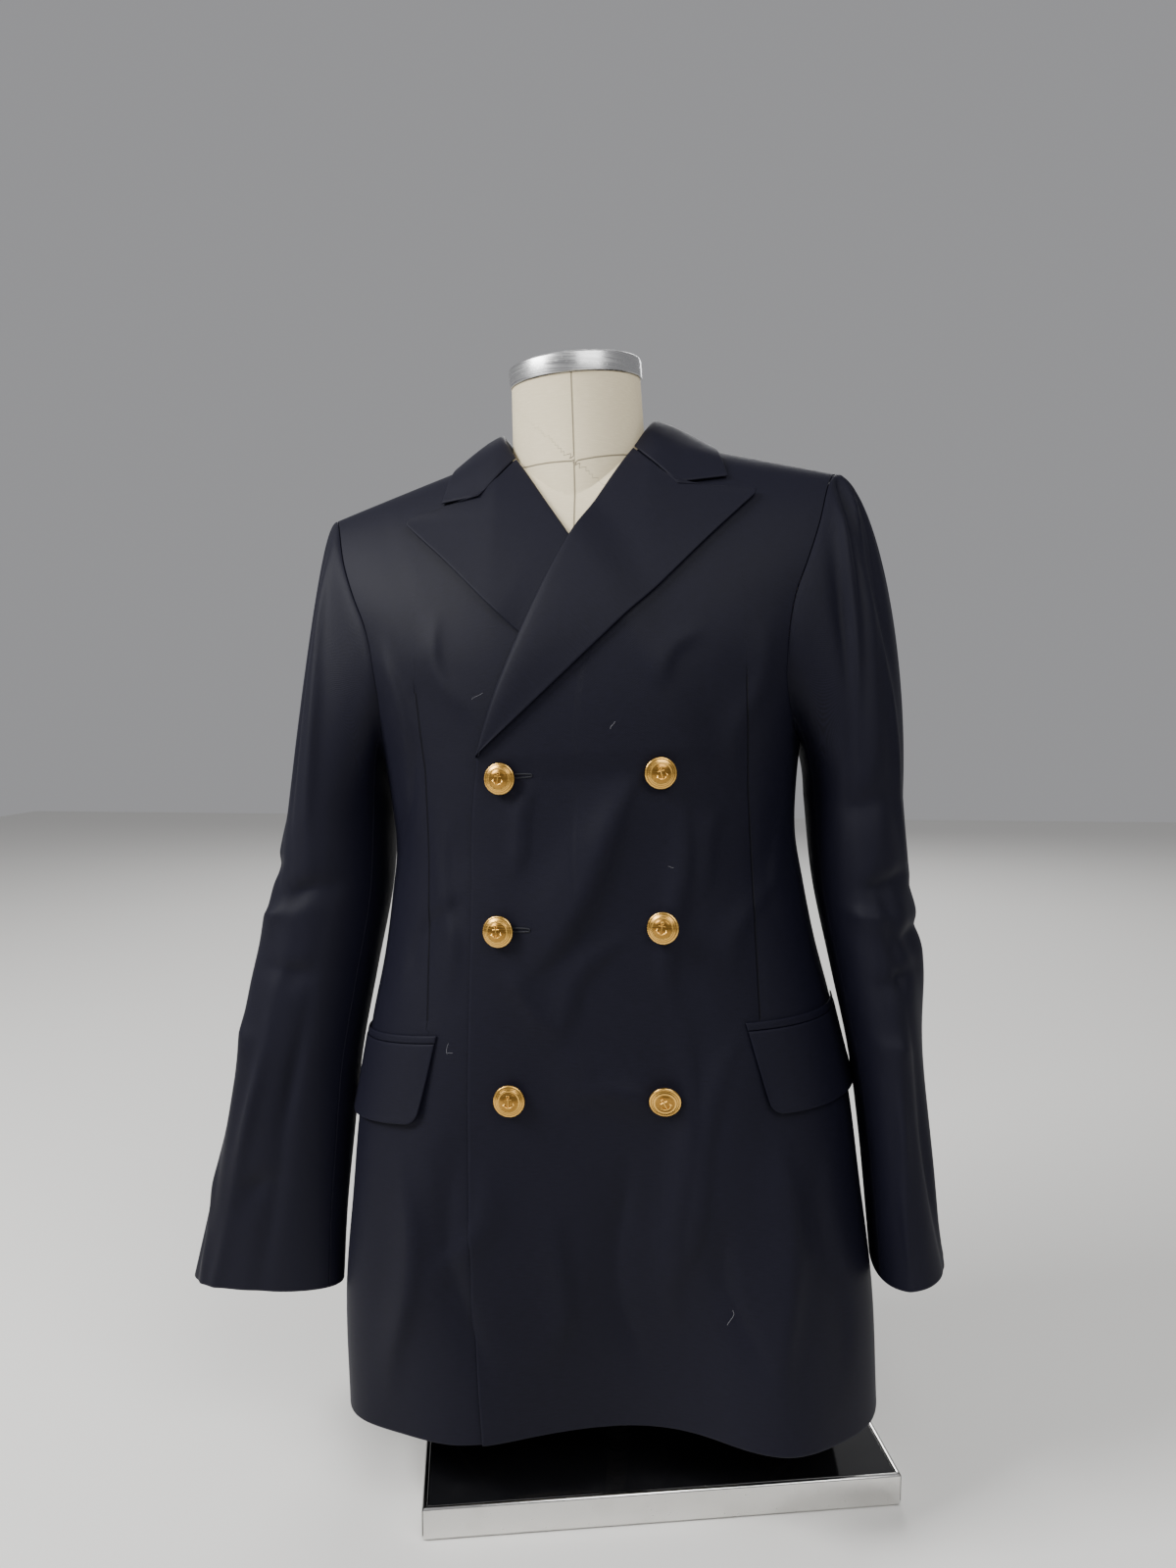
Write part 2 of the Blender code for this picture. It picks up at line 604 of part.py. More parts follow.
def add_collar(finish, parent):
    halves = [collar_half(side, 7, 3, 13) * (side, 1, 1) for side in (1, -1)]
    grid = np.concatenate([halves[0], halves[1][-2::-1]])
    normal = grid_normals(grid)
    middle = grid[len(grid) // 2, -1]
    if normal[len(grid) // 2, -1] @ (middle - (0, 0, 0.8)) < 0:
        normal = -normal
    add_wall("collar", grid - normal * CLOTH / 2, grid + normal * CLOTH / 2, finish, parent)


def armhole_point(turn):
    """The armhole seam at an angle from its top, positive in front."""
    share = (1 + math.cos(turn)) / 2
    level = ARMHOLE_Z + (TOP - 0.0002 - ARMHOLE_Z) * share
    arm = FRONT_ARM if turn >= 0 else BACK_ARM
    angle = float(armhole_angle(level, arm))
    return torso(angle if turn >= 0 else math.pi - angle, level)


def sleeve_point(side, along, turn):
    """A point of the sleeve's outer face. along runs from the armhole (0) to the cuff (1)."""
    rings = SLEEVE_RINGS[side]
    start = armhole_point(turn)
    near_body = ((1 - math.cos(turn)) / 2) ** 3
    start = start + (0.0021 + 0.0024 * near_body, 0, 0.0016 * (1 - near_body))
    cap = 0.30

    def ring(height):
        x, y, wide, deep = (float(smooth_table(-height, -rings[:, 0], rings[:, k])) for k in (1, 2, 3, 4))
        out = power(math.cos(turn), 0.92) * wide
        rise = CUFF_RISE[side] * out * float(ease(-height, -0.30, -rings[-1, 0]))
        return np.array([x + out, y - power(math.sin(turn), 0.92) * deep, height + rise])

    if along >= cap:
        height = rings[0, 0] + (rings[-1, 0] - rings[0, 0]) * (along - cap) / (1 - cap)
        point = ring(height)
    else:
        end = ring(rings[0, 0])
        u = along / cap
        upper = (1 + math.cos(turn)) / 2
        leave = start + np.array([0.006 + SLEEVE_HEAD[side] * upper, -0.004 * math.sin(turn), 0.010 * upper])
        arrive = end + np.array([0.004 * upper, 0, 0.018 + 0.13 * upper])
        point = ((1 - u) ** 3 * start + 3 * u * (1 - u) ** 2 * leave
                 + 3 * u * u * (1 - u) * arrive + u**3 * end)
    return point


def sleeve_folds(side, along, turn):
    out = 0.0
    for which, angle, start, end, half, height in SLEEVE_FOLDS:
        if which == side:
            middle, reach = (start + end) / 2, (end - start) / 2
            out += height * bump(turn - angle, half) * bump(along - middle, reach)
    return out


def sleeve_grid(side, turns, rows):
    grid = np.array([[sleeve_point(side, a, t) for t in turns] for a in rows])
    normal = np.array([[np.cross(
        sleeve_point(side, a, t + 0.02) - sleeve_point(side, a, t - 0.02),
        sleeve_point(side, min(a + 0.004, 1), t) - sleeve_point(side, max(a - 0.004, 0), t),
    ) for t in turns] for a in rows])
    normal /= np.linalg.norm(normal, axis=-1, keepdims=True)
    hang = np.array([[sleeve_folds(side, a, t) for t in turns] for a in rows])[..., None]
    middle = grid.mean(axis=1, keepdims=True)
    if ((grid - middle) * normal).sum() < 0:
        normal = -normal
    return grid + normal * hang, normal


def add_sleeves(finish, parent):
    rows = np.concatenate([np.linspace(0, 0.30, 8), np.linspace(0.30, 1, 12)[1:]])
    back_seam, front_seam = SLEEVE_SEAMS
    gap = 0.0045
    spans = {
        "top_sleeve": np.linspace(back_seam + gap, front_seam - gap, 12),
        "under_sleeve": np.linspace(front_seam + gap, back_seam + 2 * math.pi - gap, 7),
    }
    for side, word in ((1, "left"), (-1, "right")):
        for piece, turns in spans.items():
            turns = np.where(turns > math.pi, turns - 2 * math.pi, turns)
            outer, normal = sleeve_grid(side, turns, rows)
            inner = outer - normal * CLOTH
            flip = (side, 1, 1)
            add_wall(f"{piece}_{word}", inner * flip, outer * flip, finish, parent)


def add_pockets(finish, parent):
    for side, word in ((1, "left"), (-1, "right")):
        high = POCKET_Z[side]
        start = float(front_angle(POCKET_X[side], high))
        dense = np.linspace(start, math.radians(140), 400)
        line = torso(dense, np.full(400, high))
        along = np.concatenate([[0], np.cumsum(np.linalg.norm(np.diff(line, axis=0), axis=1))])
        runs = np.linspace(0, FLAP_LONG, 10)
        angles = np.interp(runs, along, dense)
        slope = POCKET_RISE[side] * runs
        near_end = np.minimum(runs, FLAP_LONG - runs)
        corner = np.clip(1 - near_end / FLAP_CORNER, 0, 1)
        deep = FLAP_DEEP - FLAP_CORNER * (1 - np.sqrt(1 - corner**2))
        down = np.linspace(0, 1, 6)[:, None]
        level = high - 0.0004 + slope[None, :] - down * deep[None, :]
        grid = np.repeat(side * angles[None, :], 6, axis=0)
        where = torso(grid, level)
        under = layer_of(side, where[..., 0], where[..., 2]) + LAYER
        add_panel(f"flap_{word}", grid, level, under + 0.001 * down, CLOTH, finish, parent)
        up = np.linspace(0, 1, 3)[:, None]
        level = high + slope[None, :] + up * WELT_HIGH
        grid = np.repeat(side * angles[None, :], 3, axis=0)
        where = torso(grid, level)
        under = layer_of(side, where[..., 0], where[..., 2]) + LAYER
        add_panel(f"welt_{word}", grid, level, under, WELT_THICK, finish, parent)


def add_turned(name, profile, steps, finish, parent=None):
    """A turned piece: a profile in the XZ plane, swept round Z."""
    mesh = bpy.data.meshes.new(name)
    points = [(radius, 0, height) for radius, height in profile]
    mesh.from_pydata(points, [(i, i + 1) for i in range(len(points) - 1)], [])
    obj = add_object(name, mesh, finish, parent)
    screw = obj.modifiers.new("Turn", "SCREW")
    screw.steps = steps
    screw.render_steps = steps
    screw.use_merge_vertices = True
    screw.merge_threshold = 0.00005
    screw.use_smooth_shade = True
    return obj


def add_buttons(finish, parent):
    profile = [(radius * BUTTON_R, height * BUTTON_R) for radius, height in BUTTON_PROFILE]
    foot = -min(height for _, height in profile)
    for number, (x, z, tilt) in enumerate(BUTTONS, 1):
        angle, level = place(np.float64(x), np.float64(z))
        normal = outward(angle, level)
        cloth = torso(angle, level) + normal * (layer_left(x, z) + CLOTH)
        axis = Vector(normal) - Vector((0, 0, math.tan(math.radians(tilt))))
        axis.normalize()
        clearance = 0.0004 + math.sin(math.radians(tilt)) * BUTTON_R * 0.30
        centre = Vector(cloth) + Vector(normal) * clearance + axis * foot
        obj = add_turned(f"button_{number}", profile, 20, finish, parent)
        obj.location = settle(centre)
        obj.rotation_euler = axis.to_track_quat("Z", "Y").to_euler()


def loft(name, rings, finish, parent):
    """A closed solid through rings of points, capped flat at both ends."""
    rings = [list(map(tuple, ring)) for ring in rings]
    count = len(rings[0])
    points = [p for ring in rings for p in ring]
    faces = [tuple(range(count))[::-1]]
    for k in range(len(rings) - 1):
        for i in range(count):
            j = (i + 1) % count
            faces.append((k * count + i, k * count + j, (k + 1) * count + j, (k + 1) * count + i))
    faces.append(tuple(range((len(rings) - 1) * count, len(rings) * count)))
    mesh = bpy.data.meshes.new(name)
    mesh.from_pydata(points, [], faces)
    mesh.shade_smooth()
    mesh.set_sharp_from_angle(angle=math.radians(40))
    return add_object(name, mesh, finish, parent)


def form_point(angle, level):
    """A point of the form's covered body, inside the jacket and touching it at the shoulders only."""
    turn = max(0.0, (level - CHEST_Z) / RISE) * math.pi / 2
    lift = math.sin(turn) ** (2 / ROUNDING)
    close = max(0.0, math.cos(turn)) ** (2 / ROUNDING)
    height = level if level < CHEST_Z else CHEST_Z + (NECK_Z - CHEST_Z) * lift
    inset = float(smooth_table(height, FORM_INSET[:, 0], FORM_INSET[:, 1]))
    wide = min(float(section(height, 1)), FORM_SHOULDER_X) - inset
    deep = float(section(height, 2 if math.cos(angle) > 0 else 3)) - inset
    x = wide * power(math.sin(angle), FORM_SQUARE)
    y = -deep * power(math.cos(angle), FORM_SQUARE) * close
    if level < CHEST_Z:
        return x, y, level
    return x, y, CHEST_Z + (float(shoulder_line(x)) - FORM_CLEAR - CHEST_Z) * lift


def add_form(finish, parent):
    levels = [FORM_BOTTOM_Z, FORM_BOTTOM_Z + 0.006, *np.linspace(0.385, TOP, 13)]
    angles = np.linspace(0, 2 * math.pi, 32, endpoint=False)
    rings = [settle([form_point(a, level) for a in angles]) for level in levels]
    rings[0] = rings[0] * (0.96, 0.96, 1)
    obj = loft("form_body", rings, finish, parent)
    mesh = bmesh.new()
    mesh.from_mesh(obj.data)
    bmesh.ops.remove_doubles(mesh, verts=mesh.verts, dist=1e-5)
    folded = [face for face in mesh.faces if face.calc_area() < 1e-9]
    bmesh.ops.delete(mesh, geom=folded, context="FACES")
    mesh.to_mesh(obj.data)
    mesh.free()
    join = obj.modifiers.new("Neck", "BOOLEAN")
    join.operation = "UNION"
    join.object = add_neck(finish, parent)


def add_neck(finish, parent):
    """The neck that is joined to the form's body. It leans forward a little and flares at its root."""
    rings = []
    for share in np.linspace(0, 1, 6):
        height = NECK_ROOT_Z + (NECK_TOP_Z - NECK_ROOT_Z) * share
        radius = NECK_R + (NECK_TOP_R - NECK_R) * max(0.0, (share - 0.4) / 0.6)
        flare = NECK_FLARE * (1 - share) ** 2
        ring = []
        for angle in np.linspace(0, 2 * math.pi, 32, endpoint=False):
            front = math.cos(angle)
            y = NECK_FORWARD * share - (radius + flare * max(0.0, front)) * front
            ring.append((radius * math.sin(angle), y, height - math.tan(NECK_TILT) * radius * front * share))
        rings.append(settle(ring))
    obj = loft("neck_shape", rings, finish, parent)
    bpy.data.collections["Joined shapes"].objects.link(obj)
    bpy.data.collections["Double-breasted jacket"].objects.unlink(obj)
    obj.hide_render = True
    obj.display_type = "WIRE"
    return obj


def add_cap(finish, parent):
    profile = ((0, CAP_HIGH + 0.0015), (CAP_R * 0.7, CAP_HIGH + 0.0010), (CAP_R - 0.0016, CAP_HIGH),
               (CAP_R, CAP_HIGH - 0.0016), (CAP_R, SEAM + 0.0004), (CAP_R - 0.0004, SEAM), (0, SEAM))
    cap = add_turned("neck_cap", profile, 48, finish, parent)
    cap.location = (0, NECK_FORWARD, NECK_TOP_Z)
    cap.rotation_euler = (NECK_TILT, -math.atan(SHOULDER_TILT), 0)


def add_stand(steel, black, axis):
    """The pole leans with the form. The socket and the base stay level."""
    foot = (BASE_H - PLATE_DROP + SOCKET_H + SEAM) / math.cos(LEAN) + POLE_R * math.tan(LEAN)
    add_turned("pole", ((0, FORM_BOTTOM_Z - SEAM), (POLE_R, FORM_BOTTOM_Z - SEAM), (POLE_R, foot), (0, foot)),
               32, steel, axis)
    socket = add_turned("pole_socket", (
        (0, SOCKET_H), (SOCKET_R - 0.002, SOCKET_H), (SOCKET_R, SOCKET_H - 0.002), (SOCKET_R, FLANGE_H + 0.004),
        (SOCKET_R + 0.004, FLANGE_H), (FLANGE_R - 0.001, FLANGE_H), (FLANGE_R, FLANGE_H - 0.001),
        (FLANGE_R, SEAM), (0, SEAM)), 40, steel)
    socket.location = (POLE_X, 0, BASE_H - PLATE_DROP)

    def box(name, wide, deep, low, high, finish, collection):
        bpy.ops.mesh.primitive_cube_add(size=1, location=(0, 0, (low + high) / 2))
        obj = bpy.context.active_object
        obj.name = obj.data.name = name
        obj.data.transform(Matrix.Diagonal((wide, deep, high - low, 1)))
        obj.data.materials.append(finish)
        for other in list(obj.users_collection):
            other.objects.unlink(obj)
        bpy.data.collections[collection].objects.link(obj)
        obj.rotation_euler = (0, 0, BASE_TURN)
        return obj

    model, helpers = "Double-breasted jacket", "Joined shapes"
    trim = box("base_trim", BASE_W, BASE_D, 0, BASE_H, steel, model)
    rounding = trim.modifiers.new("Rounded edges", "BEVEL")
    rounding.width = TRIM_ROUND
    rounding.segments = 3
    rounding.limit_method = "ANGLE"
    inside = box("trim_inside", BASE_W - 2 * TRIM_WALL, BASE_D - 2 * TRIM_WALL, -0.01, BASE_H + 0.01,
                 steel, helpers)
    inside.hide_render = True
    inside.display_type = "WIRE"
    cut = trim.modifiers.new("Open middle", "BOOLEAN")
    cut.object = inside
    gap = 2 * (TRIM_WALL + SEAM)
    plate = box("base_plate", BASE_W - gap, BASE_D - gap, 0, BASE_H - PLATE_DROP, black, model)
    edge = plate.modifiers.new("Eased edges", "BEVEL")
    edge.width = 0.0006
    edge.segments = 1


def main():
    for obj in list(bpy.data.objects):
        bpy.data.objects.remove(obj, do_unlink=True)
    for name in ("Double-breasted jacket", "Joined shapes"):
        made = bpy.data.collections.new(name)
        bpy.context.scene.collection.children.link(made)

    cloth = material("navy wool", (0.012, 0.014, 0.028), 0.85)
    gold = material("brushed gilt", (0.62, 0.42, 0.13), 0.38, 1.0)
    linen = material("cream linen", (0.70, 0.64, 0.50), 0.9)
    steel = material("polished steel", (0.70, 0.70, 0.69), 0.22, 1.0)
    black = material("gloss black", (0.01, 0.01, 0.012), 0.08)

    axis = bpy.data.objects.new("leaning_axis", None)
    bpy.data.collections["Double-breasted jacket"].objects.link(axis)
    axis.location = (POLE_X, 0, 0)
    axis.rotation_euler = (0, -LEAN, 0)

    add_fronts(cloth, axis)
    add_sides(cloth, axis)
    add_backs(cloth, axis)
    add_lapels(cloth, axis)
    add_collar(cloth, axis)
    add_sleeves(cloth, axis)
    add_pockets(cloth, axis)
    add_buttons(gold, axis)
    add_form(linen, axis)
    add_cap(steel, axis)
    add_stand(steel, black, axis)


main()
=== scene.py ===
# %% [markdown]
# # A double-breasted jacket on its form
#
# The frame that is loaded here is a set of plain solids: right in size and place, and flat in
# look. This lesson dresses them. Each cloth piece is drawn again on the same body surface as its
# solid, with far more points, rolled edges, creases and seams. The buttons, the neck cap and the
# base are modelled with Blender's own tools. Nothing is moved: every piece stays where its solid is.

import json
import math

import bmesh
import bpy
import numpy as np
from mathutils import Matrix, Vector

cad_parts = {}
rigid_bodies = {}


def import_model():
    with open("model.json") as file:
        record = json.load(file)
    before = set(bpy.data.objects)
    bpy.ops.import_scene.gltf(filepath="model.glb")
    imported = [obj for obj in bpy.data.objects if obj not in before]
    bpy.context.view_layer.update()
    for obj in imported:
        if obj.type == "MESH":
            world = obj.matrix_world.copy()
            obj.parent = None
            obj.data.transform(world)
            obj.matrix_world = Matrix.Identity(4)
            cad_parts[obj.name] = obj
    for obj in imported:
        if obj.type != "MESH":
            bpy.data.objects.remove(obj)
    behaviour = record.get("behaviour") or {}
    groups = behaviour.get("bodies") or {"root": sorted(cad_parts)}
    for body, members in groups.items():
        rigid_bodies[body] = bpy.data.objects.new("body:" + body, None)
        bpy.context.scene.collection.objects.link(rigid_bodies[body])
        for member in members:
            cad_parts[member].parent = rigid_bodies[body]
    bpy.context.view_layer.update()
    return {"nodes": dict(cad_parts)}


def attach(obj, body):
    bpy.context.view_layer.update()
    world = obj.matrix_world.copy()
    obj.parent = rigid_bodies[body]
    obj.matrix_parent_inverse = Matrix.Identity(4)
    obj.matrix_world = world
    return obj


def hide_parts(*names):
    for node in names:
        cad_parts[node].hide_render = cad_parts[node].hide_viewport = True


for leftover in list(bpy.data.objects):
    bpy.data.objects.remove(leftover, do_unlink=True)
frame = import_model()
print("nodes in the frame:", len(frame["nodes"]))

# %% [markdown]
# ## Sizes
#
# The dressed cloth has to lie where its solid lies, so this lesson starts from the same sizes: the
# cloth's thickness, the heights on the jacket and how the form leans. "Left" is the wearer's left,
# at +X. Each later step brings in its own small tables.

# %% Sizes of the jacket
SIDES = ((1, "left"), (-1, "right"))  # the wearer's

# Cloth
CLOTH = 0.0018  # a front, back or sleeve with its interlining
LAYER = 0.0026  # from one layer's inner face to the next: cloth and an air gap
SEAM = 0.0003  # gap between two pieces at a seam
WELT_THICK = 0.0012

# Heights on the jacket, above the underside of the base
HEM_Z = 0.080
ARMHOLE_Z = 0.605  # the lowest point of the armhole
CHEST_Z = 0.620  # the body closes in towards the shoulder line above this
NECK_Z = 0.866  # the shoulder line at the neck
NECK_X = 0.0625  # half the width of the neck opening
SHOULDER_FALL = 0.285  # drop of the shoulder line for each metre out
RISE = 0.300  # length of the surface from the chest up to the shoulder line
TOP = CHEST_Z + RISE
BACK_NECK = 0.180  # how far up that rise the back neckline starts

ROUNDING = 2.1  # exponent of the roll over the shoulder
FRONT_SEAM = math.radians(80)  # front to side panel, as an angle round the body
BACK_SEAM = math.radians(118)  # side panel to back
FRONT_ARM = math.radians(45.5)
BACK_ARM = math.radians(45.5)
ARM_CURVE = 0.36  # share of the armhole's height that the underarm curve takes
ARM_FLARE = math.radians(10)  # how far the armhole runs out again above that, to the shoulder

# Stance: the form leans on its pole, and the right shoulder sits lower still
LEAN = math.radians(2.5)
SHOULDER_TILT = 0.031
POLE_X = -0.018

print("cloth is", CLOTH * 1000, "mm thick; hem to shoulder line", NECK_Z - HEM_Z, "m")

# %% [markdown]
# ## Body sections
#
# A tailor takes the girth at the chest, the waist and the hips. Here sixteen level sections do
# that, each with a half width, two depths and a squareness. A cubic runs through the rows of such
# a table, because straight steps between them would show as kinks in the cloth.

# %% Body sections
# Body sections: height, half width, depth in front, depth behind, squareness in front and behind
SECTIONS = np.array([
    (0.080, 0.216, 0.152, 0.060, 7.0, 3.2),
    (0.175, 0.216, 0.152, 0.066, 6.0, 3.0),
    (0.250, 0.211, 0.150, 0.072, 4.6, 2.8),
    (0.320, 0.206, 0.148, 0.078, 3.6, 2.6),
    (0.390, 0.195, 0.146, 0.079, 3.0, 2.5),
    (0.440, 0.184, 0.144, 0.079, 2.7, 2.4),
    (0.490, 0.176, 0.142, 0.082, 2.5, 2.4),
    (0.530, 0.171, 0.140, 0.087, 2.4, 2.4),
    (0.570, 0.173, 0.139, 0.094, 2.4, 2.4),
    (0.620, 0.181, 0.137, 0.102, 2.4, 2.4),
    (0.660, 0.193, 0.135, 0.108, 2.4, 2.4),
    (0.700, 0.212, 0.132, 0.110, 2.4, 2.4),
    (0.730, 0.226, 0.128, 0.110, 2.4, 2.4),
    (0.765, 0.241, 0.122, 0.108, 2.4, 2.4),
    (0.800, 0.251, 0.115, 0.105, 2.4, 2.4),
    (0.866, 0.256, 0.105, 0.100, 2.4, 2.4),
])


def smooth_table(x, xs, ys):
    """A value between the rows of a table, along a cubic through them."""
    xs, ys = np.asarray(xs, float), np.asarray(ys, float)
    slopes = np.gradient(ys, xs)
    x = np.clip(x, xs[0], xs[-1])
    i = np.clip(np.searchsorted(xs, x, side="right") - 1, 0, len(xs) - 2)
    h = xs[i + 1] - xs[i]
    u = (x - xs[i]) / h
    return (
        (1 + 2 * u) * (1 - u) ** 2 * ys[i]
        + u * (1 - u) ** 2 * h * slopes[i]
        + u * u * (3 - 2 * u) * ys[i + 1]
        - u * u * (1 - u) * h * slopes[i + 1]
    )


def ease(x, start, end):
    u = np.clip((x - start) / (end - start), 0, 1)
    return u * u * (3 - 2 * u)


def bump(distance, half_width):
    return np.exp(-((distance / half_width) ** 2))


def section(height, column):
    return smooth_table(height, SECTIONS[:, 0], SECTIONS[:, column])


def shoulder_line(x):
    return NECK_Z - SHOULDER_FALL * np.maximum(np.abs(x) - NECK_X, 0)


def power(value, exponent):
    """A power that keeps the sign. Between 0 and 1 it squares an ellipse off."""
    return np.sign(value) * np.abs(value) ** exponent


print("half width at the waist:", round(float(section(0.53, 1)), 4), "m")

# %% [markdown]
# ## Folds and creases
#
# Wool that hangs on a form falls in a few wide waves at the hem and in soft pulls between the
# buttons. A cloth simulation would find some, but not these ones. So they are drawn: each row is a
# line on the front or the back, with a width and a height. A crease has one steep side.

# %% Folds and creases
# Waves of the hanging skirt in front: x, half width, how far it stands out at the hem
HEM_WAVES = (
    (-0.108, 0.052, 0.017),
    (0.028, 0.070, -0.016),
    (0.140, 0.048, 0.024),
)
HEM_WAVE_TOP = 0.46

# Folds of the body: +1 front or -1 back, x and z of each end, half width, height
BODY_FOLDS = (
    (1, 0.030, 0.570, -0.034, 0.462, 0.020, 0.0050),
    (1, 0.118, 0.372, 0.068, 0.190, 0.024, 0.0050),
    (1, 0.055, 0.342, -0.020, 0.372, 0.016, 0.0035),
    (1, -0.120, 0.335, -0.150, 0.150, 0.022, 0.0040),
    (1, -0.168, 0.690, -0.135, 0.610, 0.018, 0.0035),
    (1, 0.158, 0.700, 0.140, 0.600, 0.018, 0.0030),
    (-1, -0.060, 0.560, -0.120, 0.480, 0.022, 0.0040),
    (-1, 0.070, 0.550, 0.130, 0.470, 0.022, 0.0040),
    (-1, -0.090, 0.330, -0.110, 0.120, 0.030, 0.0060),
    (-1, 0.080, 0.340, 0.105, 0.120, 0.030, 0.0060),
    (-1, 0.000, 0.800, 0.020, 0.700, 0.026, 0.0030),
)

# Finer creases of the hanging cloth, with one steep side: face, x and z of each end, half width, height
FOLD_RISE = 1.9  # times the heights below
STEEP, GENTLE = 0.75, 1.5  # how wide the two sides of a crease are, in its half widths
SWAY = 0.9  # how far a crease sways off its line, in its half widths
SWAY_LENGTH = 0.10  # a crease of this length or more sways in full
BODY_CREASES = (
    (1, 0.052, 0.588, -0.040, 0.440, 0.0075, 0.0026), (1, 0.075, 0.565, 0.070, 0.420, 0.0070, 0.0026),
    (1, 0.072, 0.400, 0.066, 0.180, 0.0080, 0.0028), (1, 0.112, 0.375, 0.058, 0.205, 0.0080, 0.0026),
    (1, -0.018, 0.362, 0.060, 0.330, 0.0085, 0.0016), (1, 0.030, 0.470, -0.030, 0.395, 0.0080, 0.0018),
    (1, -0.030, 0.585, -0.052, 0.520, 0.0060, 0.0016), (1, 0.110, 0.560, 0.085, 0.500, 0.0070, 0.0018),
    (1, -0.150, 0.700, -0.138, 0.560, 0.0070, 0.0028), (1, -0.140, 0.640, -0.150, 0.500, 0.0080, -0.0026),
    (1, -0.112, 0.720, -0.090, 0.640, 0.0080, 0.0016), (1, -0.100, 0.560, -0.112, 0.430, 0.0080, 0.0020),
    (1, -0.150, 0.430, -0.100, 0.500, 0.0080, -0.0020), (1, -0.146, 0.300, -0.158, 0.120, 0.0100, 0.0030),
    (1, -0.110, 0.300, -0.095, 0.130, 0.0100, -0.0024), (1, -0.120, 0.200, -0.075, 0.290, 0.0090, 0.0018),
    (1, 0.020, 0.300, 0.030, 0.130, 0.0100, -0.0022), (1, 0.140, 0.310, 0.150, 0.110, 0.0110, 0.0030),
    (1, 0.180, 0.300, 0.176, 0.130, 0.0100, -0.0026), (1, 0.100, 0.250, 0.120, 0.140, 0.0080, -0.0018),
    (1, 0.150, 0.520, 0.112, 0.440, 0.0080, 0.0024), (1, 0.145, 0.690, 0.125, 0.590, 0.0080, 0.0024),
    (1, 0.148, 0.600, 0.150, 0.470, 0.0080, -0.0024), (1, 0.095, 0.700, 0.060, 0.660, 0.0080, 0.0014),
    (1, -0.020, 0.250, -0.040, 0.140, 0.0090, 0.0016), (1, -0.062, 0.440, -0.020, 0.400, 0.0070, 0.0014),
    (-1, -0.050, 0.700, -0.110, 0.620, 0.0090, 0.0024), (-1, 0.060, 0.690, 0.120, 0.610, 0.0090, 0.0024),
    (-1, -0.120, 0.560, -0.060, 0.500, 0.0090, -0.0022), (-1, 0.110, 0.570, 0.050, 0.510, 0.0090, -0.0022),
    (-1, -0.020, 0.540, -0.090, 0.530, 0.0070, 0.0020), (-1, 0.030, 0.535, 0.095, 0.520, 0.0070, 0.0020),
    (-1, -0.060, 0.420, -0.070, 0.150, 0.0110, 0.0032), (-1, 0.050, 0.420, 0.060, 0.160, 0.0110, 0.0030),
    (-1, -0.140, 0.400, -0.150, 0.120, 0.0110, -0.0028), (-1, 0.140, 0.400, 0.150, 0.120, 0.0110, -0.0028),
)


def folds(x, z, face):
    """How far the cloth stands out at a place: the skirt's waves and the drawn folds."""
    out = np.zeros(np.broadcast(x, z).shape)
    if face > 0:
        fade = np.clip((HEM_WAVE_TOP - z) / (HEM_WAVE_TOP - HEM_Z), 0, 1) ** 1.6
        for middle, half, height in HEM_WAVES:
            out = out + height * fade * bump(x - middle, half)
    for side, x0, z0, x1, z1, half, height in BODY_FOLDS:
        if side == face:
            ax, az = x1 - x0, z1 - z0
            along = np.clip(((x - x0) * ax + (z - z0) * az) / (ax * ax + az * az), -0.2, 1.2)
            off = np.hypot(x - x0 - along * ax, z - z0 - along * az)
            out = out + height * bump(off, half) * ease(along, -0.2, 0.3) * ease(-along, -1.2, -0.7)
    for side, x0, z0, x1, z1, half, height in BODY_CREASES:
        if side == face:
            ax, az = x1 - x0, z1 - z0
            long = math.hypot(ax, az)
            along = ((x - x0) * ax + (z - z0) * az) / (long * long)
            off = ((x - x0) * az - (z - z0) * ax) / long
            sway = SWAY * np.sin(5.0 * along + 90 * x0) * np.clip(long / SWAY_LENGTH, 0.3, 1.0)
            off = off + half * sway
            width = half * np.where(off > 0, GENTLE, STEEP)
            fade = ease(along, -0.15, 0.35) * ease(-along, -1.15, -0.65)
            out = out + FOLD_RISE * height * np.exp(-np.abs(off / width) ** 1.7) * fade
    return out


print(len(HEM_WAVES), "waves,", len(BODY_FOLDS), "folds and", len(BODY_CREASES), "creases")

# %% [markdown]
# ## The body surface
#
# One function, torso(), gives every point of the worn jacket from an angle round the body and a
# level up it. Each panel, lapel, flap and button is placed on it, moved out by its layer, so
# pieces that lie on each other can't cross. The folds are part of the same surface.

# %% The body surface
STEP = 1e-4  # for slopes


